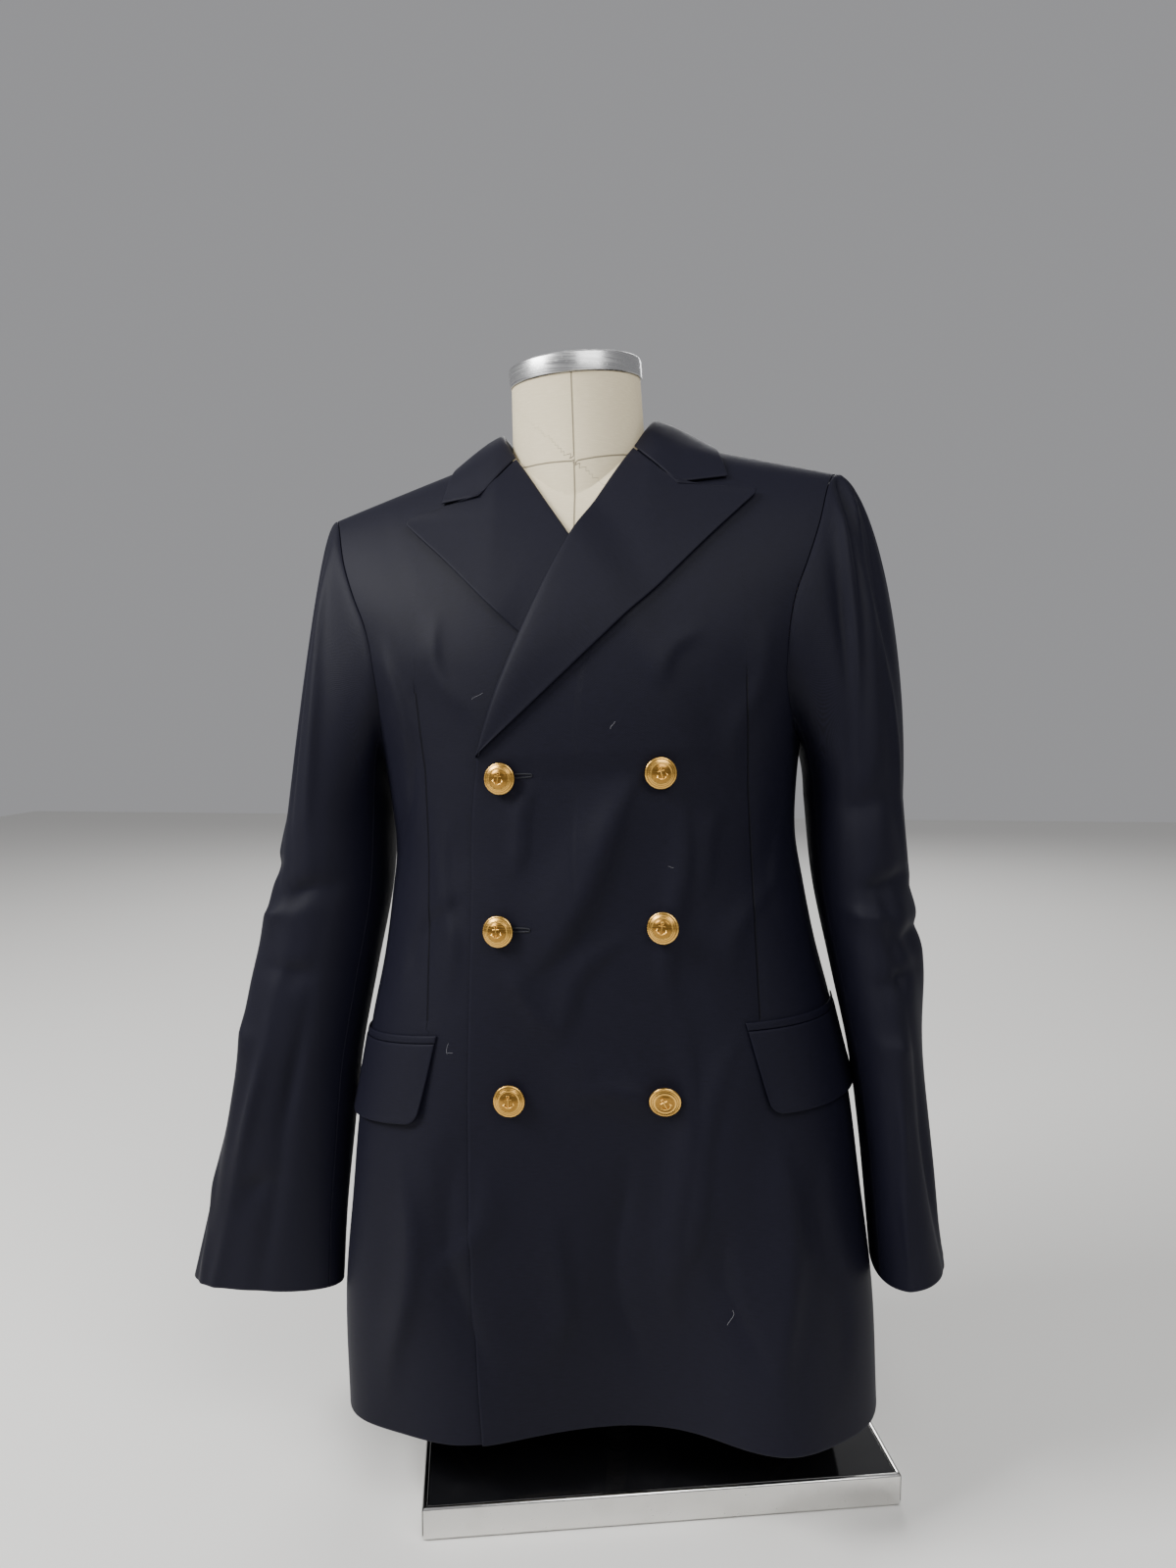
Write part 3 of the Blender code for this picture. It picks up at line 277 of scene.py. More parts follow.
def torso(angle, level):
    """A point of the body surface. The angle runs from the centre front (0) to the centre back (pi).

    The level is the height up to the chest, and above it the distance along the surface to the
    shoulder line, where the front and the back meet.
    """
    angle, level = np.broadcast_arrays(np.asarray(angle, float), np.asarray(level, float))
    turn = np.clip((level - CHEST_Z) / RISE, 0, 2) * math.pi / 2
    lift = np.abs(np.sin(turn)) ** (2 / ROUNDING)
    close = power(np.cos(turn), 2 / ROUNDING)
    height = np.where(level < CHEST_Z, level, CHEST_Z + (NECK_Z - CHEST_Z) * lift)
    front = np.cos(angle) >= 0
    depth = np.where(front, section(height, 2), section(height, 3))
    square = np.where(front, section(height, 4), section(height, 5))
    x = section(height, 1) * power(np.sin(angle), 2 / square)
    y = -depth * power(np.cos(angle), 2 / square) * close
    z = np.where(level < CHEST_Z, level, CHEST_Z + (shoulder_line(x) - CHEST_Z) * lift)
    facing = np.abs(np.cos(angle)) ** 0.6 * np.abs(close)
    stand = np.where(front, folds(x, z, 1), folds(x, z, -1)) * facing
    return np.stack([x, np.where(front, y - stand, y + stand), z], axis=-1)


def outward(angle, level):
    """The unit normal of the body surface."""
    angle, level = np.broadcast_arrays(np.asarray(angle, float), np.asarray(level, float))
    level = np.minimum(level, TOP - 2 * STEP)
    across = torso(angle + 4 * STEP, level) - torso(angle - 4 * STEP, level)
    up = torso(angle, level + STEP) - torso(angle, level - STEP)
    normal = np.cross(across, up)
    normal /= np.linalg.norm(normal, axis=-1, keepdims=True)
    away = torso(angle, level) * (0.4, 1, 1) - (0, 0, 0.55)  # from a point inside the chest
    return normal * np.sign((normal * away).sum(-1, keepdims=True))


def front_angle(x, level, square=4):
    """The angle at which a row of the front has this x. square names the column of squareness."""
    turn = np.clip((level - CHEST_Z) / RISE, 0, 1) * math.pi / 2
    lift = np.abs(np.sin(turn)) ** (2 / ROUNDING)
    height = np.where(level < CHEST_Z, level, CHEST_Z + (NECK_Z - CHEST_Z) * lift)
    share = np.clip(x / section(height, 1), -1, 1)
    return np.arcsin(power(share, section(height, square) / 2))


def place(x, z):
    """The angle and level of a point of the front seen at x and z."""
    lift = np.clip((z - CHEST_Z) / (shoulder_line(x) - CHEST_Z), 0, 1)
    level = np.where(z < CHEST_Z, z, CHEST_Z + RISE * np.arcsin(lift ** (ROUNDING / 2)) * 2 / math.pi)
    return front_angle(x, level), level


print("the middle of the chest is at", torso(0.0, 0.60).round(3))

# %% [markdown]
# ## Edges, layers and armholes
#
# A double-breasted front laps far over the other one and turns back above the top button. These
# lines are the front edge, the roll line and the armhole, each as a function, so that two pieces
# which share a line are cut along exactly the same one.

# %% Edges, layers and armholes
# Front edge: height, how far it laps past the centre
FRONT_EDGE = np.array([
    (0.080, 0.092), (0.174, 0.095), (0.318, 0.094), (0.476, 0.086), (0.588, 0.078), (0.609, 0.074),
])
# Roll line of the lapel: height, distance out from the centre
ROLL_LINE = np.array([
    (0.609, -0.074), (0.660, -0.056), (0.708, -0.034), (0.771, -0.001), (0.815, 0.027), (0.866, 0.060),
])
ROLL_BOTTOM = 0.609
LAPEL_SET_BACK = 0.0012  # the front stops this far inside its lapel's fold
LAPEL_AIR = 0.0004  # more air under a lapel than between two flat layers
LAPEL_UNDER = (0.588, 0.612)  # between these heights the right lapel starts to lift the left front
LAP_END = (0.004, 0.044)  # past the edge under it, the left front comes down to the body over this


def front_edge(z):
    return smooth_table(z, FRONT_EDGE[:, 0], FRONT_EDGE[:, 1])


def roll_x(z):
    return smooth_table(z, ROLL_LINE[:, 0], ROLL_LINE[:, 1])


def layer_left(x, z):
    """How far out the left front lies, where the right front and its lapel are under it."""
    edge = np.where(z < ROLL_BOTTOM, front_edge(z), -roll_x(z))
    under_lapel = (LAYER + LAPEL_AIR) * ease(z, *LAPEL_UNDER)
    return (LAYER + under_lapel) * (1 - ease(x, edge + LAP_END[0], edge + LAP_END[1]))


def layer_of(side, x, z):
    return layer_left(x, z) if side > 0 else np.zeros(np.shape(x))


def armhole_angle(level, arm):
    """The armhole's angle at a level: a quarter curve under the arm, then out to the shoulder."""
    share = (level - ARMHOLE_Z) / (TOP - ARMHOLE_Z)
    low = np.clip(1 - share / ARM_CURVE, 0, 1)
    flare = ARM_FLARE * np.clip((share - ARM_CURVE) / (1 - ARM_CURVE), 0, 1) ** 1.3
    return arm + flare + (math.pi / 2 - arm) * (1 - np.sqrt(1 - low * low))


def armhole_level(angle, arm):
    """The armhole's level at an angle from the arm's own limit to the side."""
    low = np.clip(1 - (angle - arm) / (math.pi / 2 - arm), 0, 1)
    share = ARM_CURVE * (1 - np.sqrt(1 - low * low))
    return ARMHOLE_Z + share * (TOP - ARMHOLE_Z)


print("the left front laps", round(float(front_edge(0.3)), 3), "m past the centre")

# %% [markdown]
# ## The shoulders from above
#
# The collar is easier to draw in plan than by an angle and a level. drape() finds the height of the
# shoulders under a point seen from above, and lifted() moves such points out. lean() then tips
# everything to where it stands, because the form leans on its pole and its shoulders aren't level.

# %% The shoulders from above
def settle(points):
    """The right shoulder sits a little lower than the left one."""
    points = np.array(points, float)
    points[..., 2] += SHOULDER_TILT * points[..., 0] * ease(points[..., 2], CHEST_Z - 0.04, 0.80)
    return points


def lean(points):
    """From the upright jacket to where it stands: everything leans with the form on its pole."""
    points = settle(points)
    out = points.copy()
    out[..., 0] = POLE_X + points[..., 0] * math.cos(LEAN) - points[..., 2] * math.sin(LEAN)
    out[..., 2] = points[..., 0] * math.sin(LEAN) + points[..., 2] * math.cos(LEAN)
    return out


def polyline(points, shares):
    """Points at shares of a polyline's length, softened by a cubic through its corners."""
    points = np.array(points, float)
    along = np.concatenate([[0], np.cumsum(np.linalg.norm(np.diff(points, axis=0), axis=1))])
    along /= along[-1]
    return np.stack([smooth_table(shares, along, points[:, k]) for k in range(points.shape[1])], -1)


def drape(x, y):
    """Height and outward direction of the shoulders seen from above."""
    x, y = np.abs(x), np.asarray(y, float)
    z = np.full(np.broadcast(x, y).shape, NECK_Z - 0.03)
    for _ in range(20):
        depth = np.where(y < 0, section(z, 2), section(z, 3))
        hollow = 1 - np.clip(x / section(z, 1), 0, 1) ** 2.4
        close = np.clip(np.abs(y) / (depth * hollow ** (1 / 2.4)), 0, 1)
        lift = (1 - close**ROUNDING) ** (1 / ROUNDING)
        z = CHEST_Z + (shoulder_line(x) - CHEST_Z) * lift
    return z


def lifted(x, y, distance):
    """Points of the shoulders seen from above, moved out along the surface's normal."""
    small = 0.0005
    z = drape(x, y)
    slope_x = (drape(x + small, y) - drape(x - small, y)) / (2 * small)
    slope_y = (drape(x, y + small) - drape(x, y - small)) / (2 * small)
    normal = np.stack([-slope_x, -slope_y, np.ones_like(z)], -1)
    normal /= np.linalg.norm(normal, axis=-1, keepdims=True)
    return np.stack([x * np.ones_like(z), y * np.ones_like(z), z], -1) + normal * distance


print("height of a shoulder, 0.15 m out:", round(float(drape(0.15, 0.0)), 3), "m")

# %% [markdown]
# ## Shader nodes from code
#
# Adding a node, setting it and linking it takes many clicks or lines. These short helpers do it in
# one call each, so that a material below reads like a recipe.

# %% Node helpers
def add(tree, kind, inputs=None, **settings):
    """A node with its settings. An input is a value, or another node's output to link from."""
    made = tree.nodes.new(kind)
    for key, value in settings.items():
        setattr(made, key, value)
    for key, value in (inputs or {}).items():
        if isinstance(value, bpy.types.NodeSocket):
            tree.links.new(value, made.inputs[key])
        else:
            made.inputs[key].default_value = value
    return made


def math_node(tree, operation, a, b=0.0, clamp=False):
    return add(tree, "ShaderNodeMath", {0: a, 1: b}, operation=operation, use_clamp=clamp).outputs[0]


def blend_colour(tree, share, first, second):
    made = add(tree, "ShaderNodeMix", {0: share}, data_type="RGBA")
    for key, value in ((6, first), (7, second)):
        if isinstance(value, bpy.types.NodeSocket):
            tree.links.new(value, made.inputs[key])
        else:
            made.inputs[key].default_value = (*value, 1)
    return made.outputs[2]


def ramp(tree, value, low, high, to_low=0.0, to_high=1.0):
    return add(tree, "ShaderNodeMapRange", {
        "Value": value, "From Min": low, "From Max": high, "To Min": to_low, "To Max": to_high,
    }, interpolation_type="SMOOTHSTEP").outputs[0]


def group(name, inputs, outputs):
    """A node group with its sockets: the tree, what it is given and what it gives out."""
    tree = bpy.data.node_groups.new(name, "ShaderNodeTree")
    for label, value in inputs:
        tree.interface.new_socket(label, in_out="INPUT", socket_type="NodeSocketFloat").default_value = value
    for label in outputs:
        tree.interface.new_socket(label, in_out="OUTPUT", socket_type="NodeSocketFloat")
    return tree, add(tree, "NodeGroupInput").outputs, add(tree, "NodeGroupOutput").inputs


print("node helpers ready")

# %% [markdown]
# ## Weave and wear
#
# Wool twill has slanting ribs, linen a plain weave with thick threads, and metal fine brush marks.
# Two node groups draw them: the weave on a piece's cloth map in metres, and wear on the object's
# own coordinates. Each gives out only masks and heights, so any material can use them.

# %% Weave and wear
def weave_group():
    """Twill or plain weave on a cloth map in metres: a height, a thread tone and loose fuzz."""
    tree, given, out = group("weave", [("Scale", 1.0), ("Plain", 0.0), ("Slub", 0.5)],
                             ["Height", "Tone", "Fuzz"])
    place_on = add(tree, "ShaderNodeUVMap", uv_map="cloth").outputs[0]
    sized = add(tree, "ShaderNodeVectorMath", {0: place_on, 3: given["Scale"]}, operation="SCALE").outputs[0]
    twill = add(tree, "ShaderNodeTexWave", {"Vector": sized, "Scale": 560.0, "Distortion": 0.8, "Detail": 1.0,
                                            "Detail Scale": 2.0}, bands_direction="DIAGONAL").outputs[1]
    warp = add(tree, "ShaderNodeTexWave", {"Vector": sized, "Scale": 700.0, "Distortion": 0.5, "Detail": 1.0},
               bands_direction="X").outputs[1]
    weft = add(tree, "ShaderNodeTexWave", {"Vector": sized, "Scale": 700.0, "Distortion": 0.5, "Detail": 1.0},
               bands_direction="Y").outputs[1]
    plain = math_node(tree, "MULTIPLY", warp, weft)
    either = add(tree, "ShaderNodeMix", {0: given["Plain"], 2: twill, 3: plain}).outputs[0]
    long_thread = add(tree, "ShaderNodeMapping", {"Vector": sized, "Rotation": (0, 0, 0.78),
                                                  "Scale": (60.0, 420.0, 1.0)}).outputs[0]
    slub = add(tree, "ShaderNodeTexNoise", {"Vector": long_thread, "Scale": 2.0, "Detail": 3.0}).outputs[0]
    fuzz = add(tree, "ShaderNodeTexNoise", {"Vector": sized, "Scale": 1900.0, "Detail": 2.0}).outputs[0]
    raised = math_node(tree, "MULTIPLY", slub, given["Slub"])
    height = math_node(tree, "ADD", math_node(tree, "MULTIPLY", either, 0.3), raised)
    tree.links.new(math_node(tree, "ADD", height, math_node(tree, "MULTIPLY", fuzz, 0.35)), out["Height"])
    tree.links.new(add(tree, "ShaderNodeMix", {0: 0.35, 2: slub, 3: either}).outputs[0], out["Tone"])
    tree.links.new(fuzz, out["Fuzz"])
    return tree


def wear_group():
    """Slow stains and fine scratches on an object's own coordinates."""
    tree, given, out = group("wear", [("Stain size", 20.0), ("Brush", 900.0)], ["Stain", "Scratch", "Dust"])
    here = add(tree, "ShaderNodeTexCoord").outputs["Object"]
    stain = add(tree, "ShaderNodeTexNoise", {"Vector": here, "Scale": given["Stain size"], "Detail": 4.0})
    parts = add(tree, "ShaderNodeSeparateXYZ", {0: here}).outputs
    squeezed = add(tree, "ShaderNodeCombineXYZ", {
        0: math_node(tree, "MULTIPLY", parts[0], 14.0), 1: math_node(tree, "MULTIPLY", parts[1], 14.0),
        2: math_node(tree, "MULTIPLY", parts[2], given["Brush"]),
    }).outputs[0]
    brushed = add(tree, "ShaderNodeTexNoise", {"Vector": squeezed, "Scale": 1.6, "Detail": 3.0})
    dust = add(tree, "ShaderNodeTexNoise", {"Vector": here, "Scale": 420.0, "Detail": 2.0})
    tree.links.new(stain.outputs[0], out["Stain"])
    tree.links.new(brushed.outputs[0], out["Scratch"])
    tree.links.new(dust.outputs[0], out["Dust"])
    return tree


WEAVE, WEAR = weave_group(), wear_group()


print("groups:", WEAVE.name, "and", WEAR.name)

# %% [markdown]
# ## A cloth material
#
# Woven cloth takes its colour from the weave's thread tone. By the distances that each point
# carries, it gets a painted highlight along its edges and painted shade in the groove of a seam.

# %% A cloth material
def begin(name, **constants):
    """A material, its node tree and its Principled shader with these inputs set."""
    made = bpy.data.materials.new(name)
    made.use_nodes = True
    shader = made.node_tree.nodes["Principled BSDF"]
    for key, value in constants.items():
        shader.inputs[key.replace("_", " ")].default_value = value
    return made, made.node_tree, shader


def attribute(tree, name):
    return add(tree, "ShaderNodeAttribute", attribute_name=name).outputs["Fac"]


def cloth_material(name, dark, light, scale, plain, rough, depth, sheen, tint, shine=0.5):
    """Woven cloth between two tones, with painted highlights at its edges and painted shade in seams."""
    made, tree, shader = begin(name, Sheen_Weight=sheen, Sheen_Roughness=0.42, Sheen_Tint=(*tint, 1),
                               Specular_IOR_Level=shine)
    weave = add(tree, "ShaderNodeGroup", {"Scale": scale, "Plain": plain, "Slub": 0.5}, node_tree=WEAVE)
    wear = add(tree, "ShaderNodeGroup", {"Stain size": 7.0}, node_tree=WEAR)
    colour = blend_colour(tree, ramp(tree, weave.outputs["Tone"], 0.30, 0.70), dark, light)
    slow = ramp(tree, wear.outputs["Stain"], 0.30, 0.72)
    colour = blend_colour(tree, math_node(tree, "MULTIPLY", slow, 0.35), colour, light)
    # painted highlight: the colour pales towards every border, where an edge catches the light
    painted_edge_highlight = ramp(tree, attribute(tree, "edge"), 0.0, 0.0028, 0.45, 0.0)
    colour = blend_colour(tree, painted_edge_highlight, colour, light)
    sewn = math_node(tree, "ABSOLUTE", attribute(tree, "seam"))
    groove = ramp(tree, sewn, 0.0002, 0.0010)
    # painted shade: the colour darkens in the groove of a seam or dart, where shade falls
    colour = blend_colour(tree, ramp(tree, sewn, 0.0002, 0.0010, 0.8, 0.0), colour, [c * 0.25 for c in dark])
    tree.links.new(colour, shader.inputs["Base Color"])
    tree.links.new(ramp(tree, weave.outputs["Fuzz"], 0.3, 0.7, rough - 0.06, rough + 0.06),
                   shader.inputs["Roughness"])
    fine = add(tree, "ShaderNodeBump", {"Height": weave.outputs["Height"], "Distance": depth,
                                        "Strength": 0.6})
    sunk = add(tree, "ShaderNodeBump", {"Height": groove, "Distance": 0.0007, "Strength": 0.9,
                                        "Normal": fine.outputs[0]})
    tree.links.new(sunk.outputs[0], shader.inputs["Normal"])
    return made


print("cloth material ready")

# %% [markdown]
# ## A metal material
#
# The metals share one recipe. Fine brush marks drive the roughness and a small bump, and the colour
# turns to a stained one in slow patches and in the grooves that are marked as recesses.

# %% A metal material
def metal_material(name, colour, stained, low, high, brush, depth, metallic=1.0, coat=0.0):
    """Brushed metal, or gloss paint with a coat. It is stained in patches and in its recesses."""
    made, tree, shader = begin(name, Metallic=metallic, Coat_Weight=coat, Coat_Roughness=0.05)
    wear = add(tree, "ShaderNodeGroup", {"Stain size": 30.0, "Brush": brush}, node_tree=WEAR)
    worn = math_node(tree, "MULTIPLY", ramp(tree, wear.outputs["Stain"], 0.45, 0.75), 0.4)
    share = math_node(tree, "MAXIMUM", worn, attribute(tree, "recess"))
    tree.links.new(blend_colour(tree, share, colour, stained), shader.inputs["Base Color"])
    rough = ramp(tree, wear.outputs["Scratch"], 0.3, 0.7, low, high)
    tree.links.new(math_node(tree, "ADD", rough, math_node(tree, "MULTIPLY", ramp(
        tree, wear.outputs["Dust"], 0.62, 0.75), 0.10)), shader.inputs["Roughness"])
    bump_node = add(tree, "ShaderNodeBump", {"Height": wear.outputs["Scratch"], "Distance": depth,
                                             "Strength": 0.5})
    tree.links.new(bump_node.outputs[0], shader.inputs["Normal"])
    return made


print("metal material ready")

# %% [markdown]
# ## The looks of this jacket
#
# The wool is almost black with a blue cast, a weak sheen and little shine. The linen is warm and
# matt, the buttons are gilt, the cap and pole brushed steel and the base gloss black in a bright rim.

# %% Materials
wool = cloth_material("navy wool twill", (0.0030, 0.0030, 0.0068), (0.0062, 0.0061, 0.0138), 1.0, 0.0,
                      0.58, 0.00022, 0.006, (0.55, 0.58, 1.0), shine=0.13)
thread = cloth_material("navy buttonhole thread", (0.003, 0.003, 0.006), (0.007, 0.008, 0.013), 1.6, 0.0,
                        0.55, 0.0001, 0.03, (0.6, 0.65, 0.8), shine=0.3)
pale_thread = cloth_material("pale loose thread", (0.16, 0.16, 0.18), (0.26, 0.26, 0.28), 1.6, 0.0,
                             0.8, 0.0001, 0.10, (0.8, 0.8, 0.8))
linen = cloth_material("cream linen", (0.66, 0.56, 0.37), (0.79, 0.70, 0.50), 1.1, 1.0,
                       0.88, 0.00022, 0.10, (0.9, 0.9, 0.85))
gilt = metal_material("brushed gilt", (0.84, 0.49, 0.115), (0.20, 0.085, 0.014),
                      0.20, 0.36, 1500.0, 0.00004)
steel = metal_material("brushed steel", (0.60, 0.60, 0.60), (0.44, 0.44, 0.44),
                       0.20, 0.38, 1500.0, 0.00005)
polished = metal_material("polished steel rim", (0.70, 0.69, 0.67), (0.50, 0.49, 0.47),
                          0.10, 0.24, 900.0, 0.00003)
gloss = metal_material("gloss black top", (0.006, 0.006, 0.007), (0.012, 0.012, 0.013),
                       0.05, 0.11, 30.0, 0.00001, metallic=0.0, coat=0.6)
print("materials:", [m.name for m in (wool, linen, gilt, steel, polished, gloss)])

# %% [markdown]
# ## Cloth as a wall of points
#
# Each piece is a grid of points on its middle surface with a normal at each. The wall grows half a
# thickness to each side. Near its border it thins along a quarter circle, which gives the soft
# rolled edge of folded and pressed cloth. The grid is finer there, so the roll is round. Every
# piece also gets a map in metres, for the weave, and a distance to its sewn line, for the groove.

# %% The tools for cloth
ROLL_STEPS = (0.0003, 0.0009, 0.0018, 0.0030)  # where the grid is finer near a border
SEWN = 0.25  # how wide a sewn border rolls, as a share of a free one's roll


def steps(length, spacing, first=True, last=True):
    """Shares from 0 to 1 that are finer near the ends."""
    count = max(2, math.ceil(length / spacing))
    shares = set(np.linspace(0, 1, count + 1).round(6))
    close = [step / length for step in ROLL_STEPS if step < 0.4 * length]
    near = max(close, default=0) * 1.4
    shares = {s for s in shares if s in (0, 1) or ((not first or s > near) and (not last or s < 1 - near))}
    shares |= set(close) if first else set()
    shares |= {1 - s for s in close} if last else set()
    return np.array(sorted(shares))


def lengths(points, axis):
    """Distance along a grid's rows or columns from its first border."""
    step = np.linalg.norm(np.diff(points, axis=axis), axis=-1)
    start = np.zeros_like(np.take(step, [0], axis=axis))
    return np.cumsum(np.concatenate([start, step], axis=axis), axis=axis)


print("grid lines near a border, in mm:", [1000 * step for step in ROLL_STEPS])

# %% [markdown]
# ## Mesh helpers
#
# Three small routines that many pieces share: one puts an object in the scene, one turns the faces
# of a closed mesh outwards, and one keeps a value at each point for the materials to read.

# %% Mesh helpers
def in_scene(name, data):
    """A new object with this mesh, lamp or camera."""
    obj = bpy.data.objects.new(name, data)
    bpy.context.collection.objects.link(obj)
    return obj


def faces_outward(mesh, merge=0.0):
    """Turns all faces of a closed mesh outwards, after merging points nearer than merge."""
    edit = bmesh.new()
    edit.from_mesh(mesh)
    if merge:
        bmesh.ops.remove_doubles(edit, verts=edit.verts, dist=merge)
        bmesh.ops.dissolve_degenerate(edit, edges=edit.edges, dist=1e-6)
    bmesh.ops.recalc_face_normals(edit, faces=edit.faces)
    edit.to_mesh(mesh)
    edit.free()


def mark(mesh, label, values):
    """Keeps a value for each point, which the materials read by its label."""
    mesh.attributes.new(label, "FLOAT", "POINT").data.foreach_set("value", np.asarray(values, np.float32))


print("mesh helpers ready")

# %% [markdown]
# ## One wall from one grid
#
# Solidify could give the sheet its thickness, but not the soft border. So the wall is built here:
# the grid moved in, the grid moved out, and a rim of faces that joins their borders.

# %% One wall from one grid
BORDER_ROLL = 0.0016  # how wide a plain border rolls
PRESSED_ROLL = 0.0022  # the same for the pressed edges of lapels, collar and flaps
BORDER_THIN = 0.22  # share of its thickness that a wall keeps at a rolled border


def wall(name, middle, normal, thick, roll=BORDER_ROLL, rolled=(1, 1, 1, 1), seam=1.0):
    """A closed wool wall round a grid of middle points, in place of the frame's node of that name.

    rolled gives each border's share of the roll: first row, last row, first column, last column.
    """
    rows, cols = middle.shape[:2]
    up, across = lengths(middle, 0), lengths(middle, 1)
    near = np.full((rows, cols), 1.0)
    for part, gap in zip(rolled, (up, up[-1] - up, across, across[:, -1:] - across)):
        near = np.minimum(near, gap / part)
    share = np.clip(near / roll, 0, 1)
    kept = BORDER_THIN + (1 - BORDER_THIN) * np.sqrt(1 - (1 - share) ** 2)
    half = (thick / 2 * kept)[..., None]
    points = np.concatenate([
        lean(middle - normal * half).reshape(-1, 3), lean(middle + normal * half).reshape(-1, 3),
    ])
    count = rows * cols
    index = np.arange(count).reshape(rows, cols)
    a, b, d, e = index[:-1, :-1], index[:-1, 1:], index[1:, 1:], index[1:, :-1]
    inner = np.stack([a, b, d, e], -1).reshape(-1, 4)
    outer = np.stack([e, d, b, a], -1).reshape(-1, 4) + count
    border = np.concatenate([index[0, :-1], index[:-1, -1], index[-1, :0:-1], index[:0:-1, 0]])
    after = np.roll(border, -1)
    rim = np.stack([after, border, border + count, after + count], -1)
    quads = np.concatenate([inner, outer, rim])
    corner = points[quads]
    volume = (np.cross(corner[:, 0], corner[:, 1]) * corner[:, 2]).sum()
    volume += (np.cross(corner[:, 0], corner[:, 2]) * corner[:, 3]).sum()
    if volume < 0:
        quads = quads[:, ::-1]
    mesh = bpy.data.meshes.new(name + "_cloth")
    mesh.vertices.add(len(points))
    mesh.vertices.foreach_set("co", points.ravel())
    mesh.loops.add(quads.size)
    mesh.loops.foreach_set("vertex_index", quads.ravel())
    mesh.polygons.add(len(quads))
    mesh.polygons.foreach_set("loop_start", np.arange(0, quads.size, 4))
    mesh.update(calc_edges=True)
    flat = np.tile(np.stack([across, up], -1).reshape(-1, 2), (2, 1))
    mesh.uv_layers.new(name="cloth")
    mesh.uv_layers["cloth"].data.foreach_set("uv", flat[quads.ravel()].ravel())
    for label, distance in (("seam", np.broadcast_to(seam, (rows, cols))), ("edge", near)):
        mark(mesh, label, np.tile(distance.ravel(), 2))
    mesh.shade_smooth()
    piece = in_scene(name + "_cloth", mesh)
    mesh.materials.append(wool)
    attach(piece, "root")
    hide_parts(name)
    cells = np.cross(np.diff(middle, axis=0)[:, :-1], np.diff(middle, axis=1)[:-1])
    area = np.linalg.norm(cells, axis=-1).sum()
    print(f"{name}: {len(quads) * 2} triangles, {area:.4f} m2 of cloth")
    return piece


print("a border keeps", round(BORDER_THIN * CLOTH * 1000, 2), "mm of its thickness")

# %% [markdown]
# ## Grids on the body
#
# on_body() turns angles and levels into middle points and normals. spread() finds the angles of
# each row so that its points lie evenly on the surface, however square the body is there.

# %% Grids on the body
def on_body(angle, level, inside, thick):
    """Middle points and normals of cloth whose inner face lies this far outside the body surface."""
    base = torso(angle, level)
    normal = outward(angle, level)
    inside = np.broadcast_to(inside, base.shape[:2])[..., None]
    return base + normal * (inside + thick / 2), normal


def spread(levels, start, end, shares, centre=0.0):
    """The angles of a grid whose rows run from start to end in even steps on the surface.

    The trial angles crowd together towards the centre line, where the sections are squarest.
    """
    low, high = np.cbrt(start - centre)[:, None], np.cbrt(end - centre)[:, None]
    dense = centre + (low + (high - low) * np.linspace(0, 1, 241)[None, :]) ** 3
    along = lengths(torso(dense, levels[:, None]), 1)
    along /= along[:, -1:]
    return np.array([np.interp(shares, along[k], dense[k]) for k in range(len(levels))])


row = spread(np.array([0.53]), np.zeros(1), np.array([FRONT_SEAM]), np.linspace(0, 1, 5))[0]
print("even steps at the waist, in degrees:", np.degrees(row).round(1))

# %% [markdown]
# ## Fronts
#
# A front runs from its front edge, and above that from the lapel's roll line, to the side seam and
# the armhole. The left front lies one layer further out where it laps over the right one. A long
# dart is sewn in each: a thin groove that pulls the cloth in a little on both sides.

# %% Fronts
DARTS = {  # x and height of each dart, from its top point down to the pocket
    -1: ((-0.1265, 0.6620), (-0.1220, 0.5990), (-0.1230, 0.5270), (-0.1262, 0.4020)),
    1: ((0.1325, 0.6620), (0.1300, 0.5750), (0.1305, 0.5245), (0.1325, 0.3990)),
}
DART_PULL = 0.0007  # how deep the sewn line lies
DART_REACH = 0.0045


def dart_distance(side, where):
    """Signed distance from a front's dart. It is large above and below the dart."""
    line = np.array(DARTS[side])[::-1]
    x = np.interp(where[..., 2], line[:, 1], line[:, 0])
    past = np.maximum(0, np.maximum(where[..., 2] - line[-1, 1], line[0, 1] - where[..., 2]))
    return where[..., 0] - x + np.sign(where[..., 0] - x) * past


def front_start(levels):
    """The front edge's angle at each level, and the roll line's above it."""
    angle = front_angle(-front_edge(levels), levels)
    high = levels > ROLL_BOTTOM
    roll = np.full(high.sum(), 0.1)
    for _ in range(12):
        roll = front_angle(roll_x(torso(roll, levels[high])[..., 2]) + LAPEL_SET_BACK, levels[high])
    angle[high] = roll
    return angle


def make_front(side, name):
    levels = HEM_Z + (TOP - 0.0002 - HEM_Z) * steps(0.84, 0.0032)
    levels = np.sort(np.append(levels, ROLL_BOTTOM))
    end = np.minimum(FRONT_SEAM, armhole_angle(levels, FRONT_ARM))
    angles = side * spread(levels, front_start(levels), end, steps(0.25, 0.0028))
    grid = np.repeat(levels[:, None], angles.shape[1], axis=1)
    where = torso(angles, grid)
    # the dart's distance sinks a groove and gives it painted shade in the cloth material
    seam = dart_distance(side, where)
    sunk = DART_PULL * bump(seam, DART_REACH)
    inside = layer_of(side, where[..., 0], where[..., 2]) - sunk
    middle, normal = on_body(angles, grid, inside, CLOTH)
    return wall(name, middle, normal, CLOTH, rolled=(1, SEWN, 1, SEWN), seam=seam)


print("the left front starts at", np.degrees(front_start(np.array([0.30, 0.70]))).round(1), "degrees")

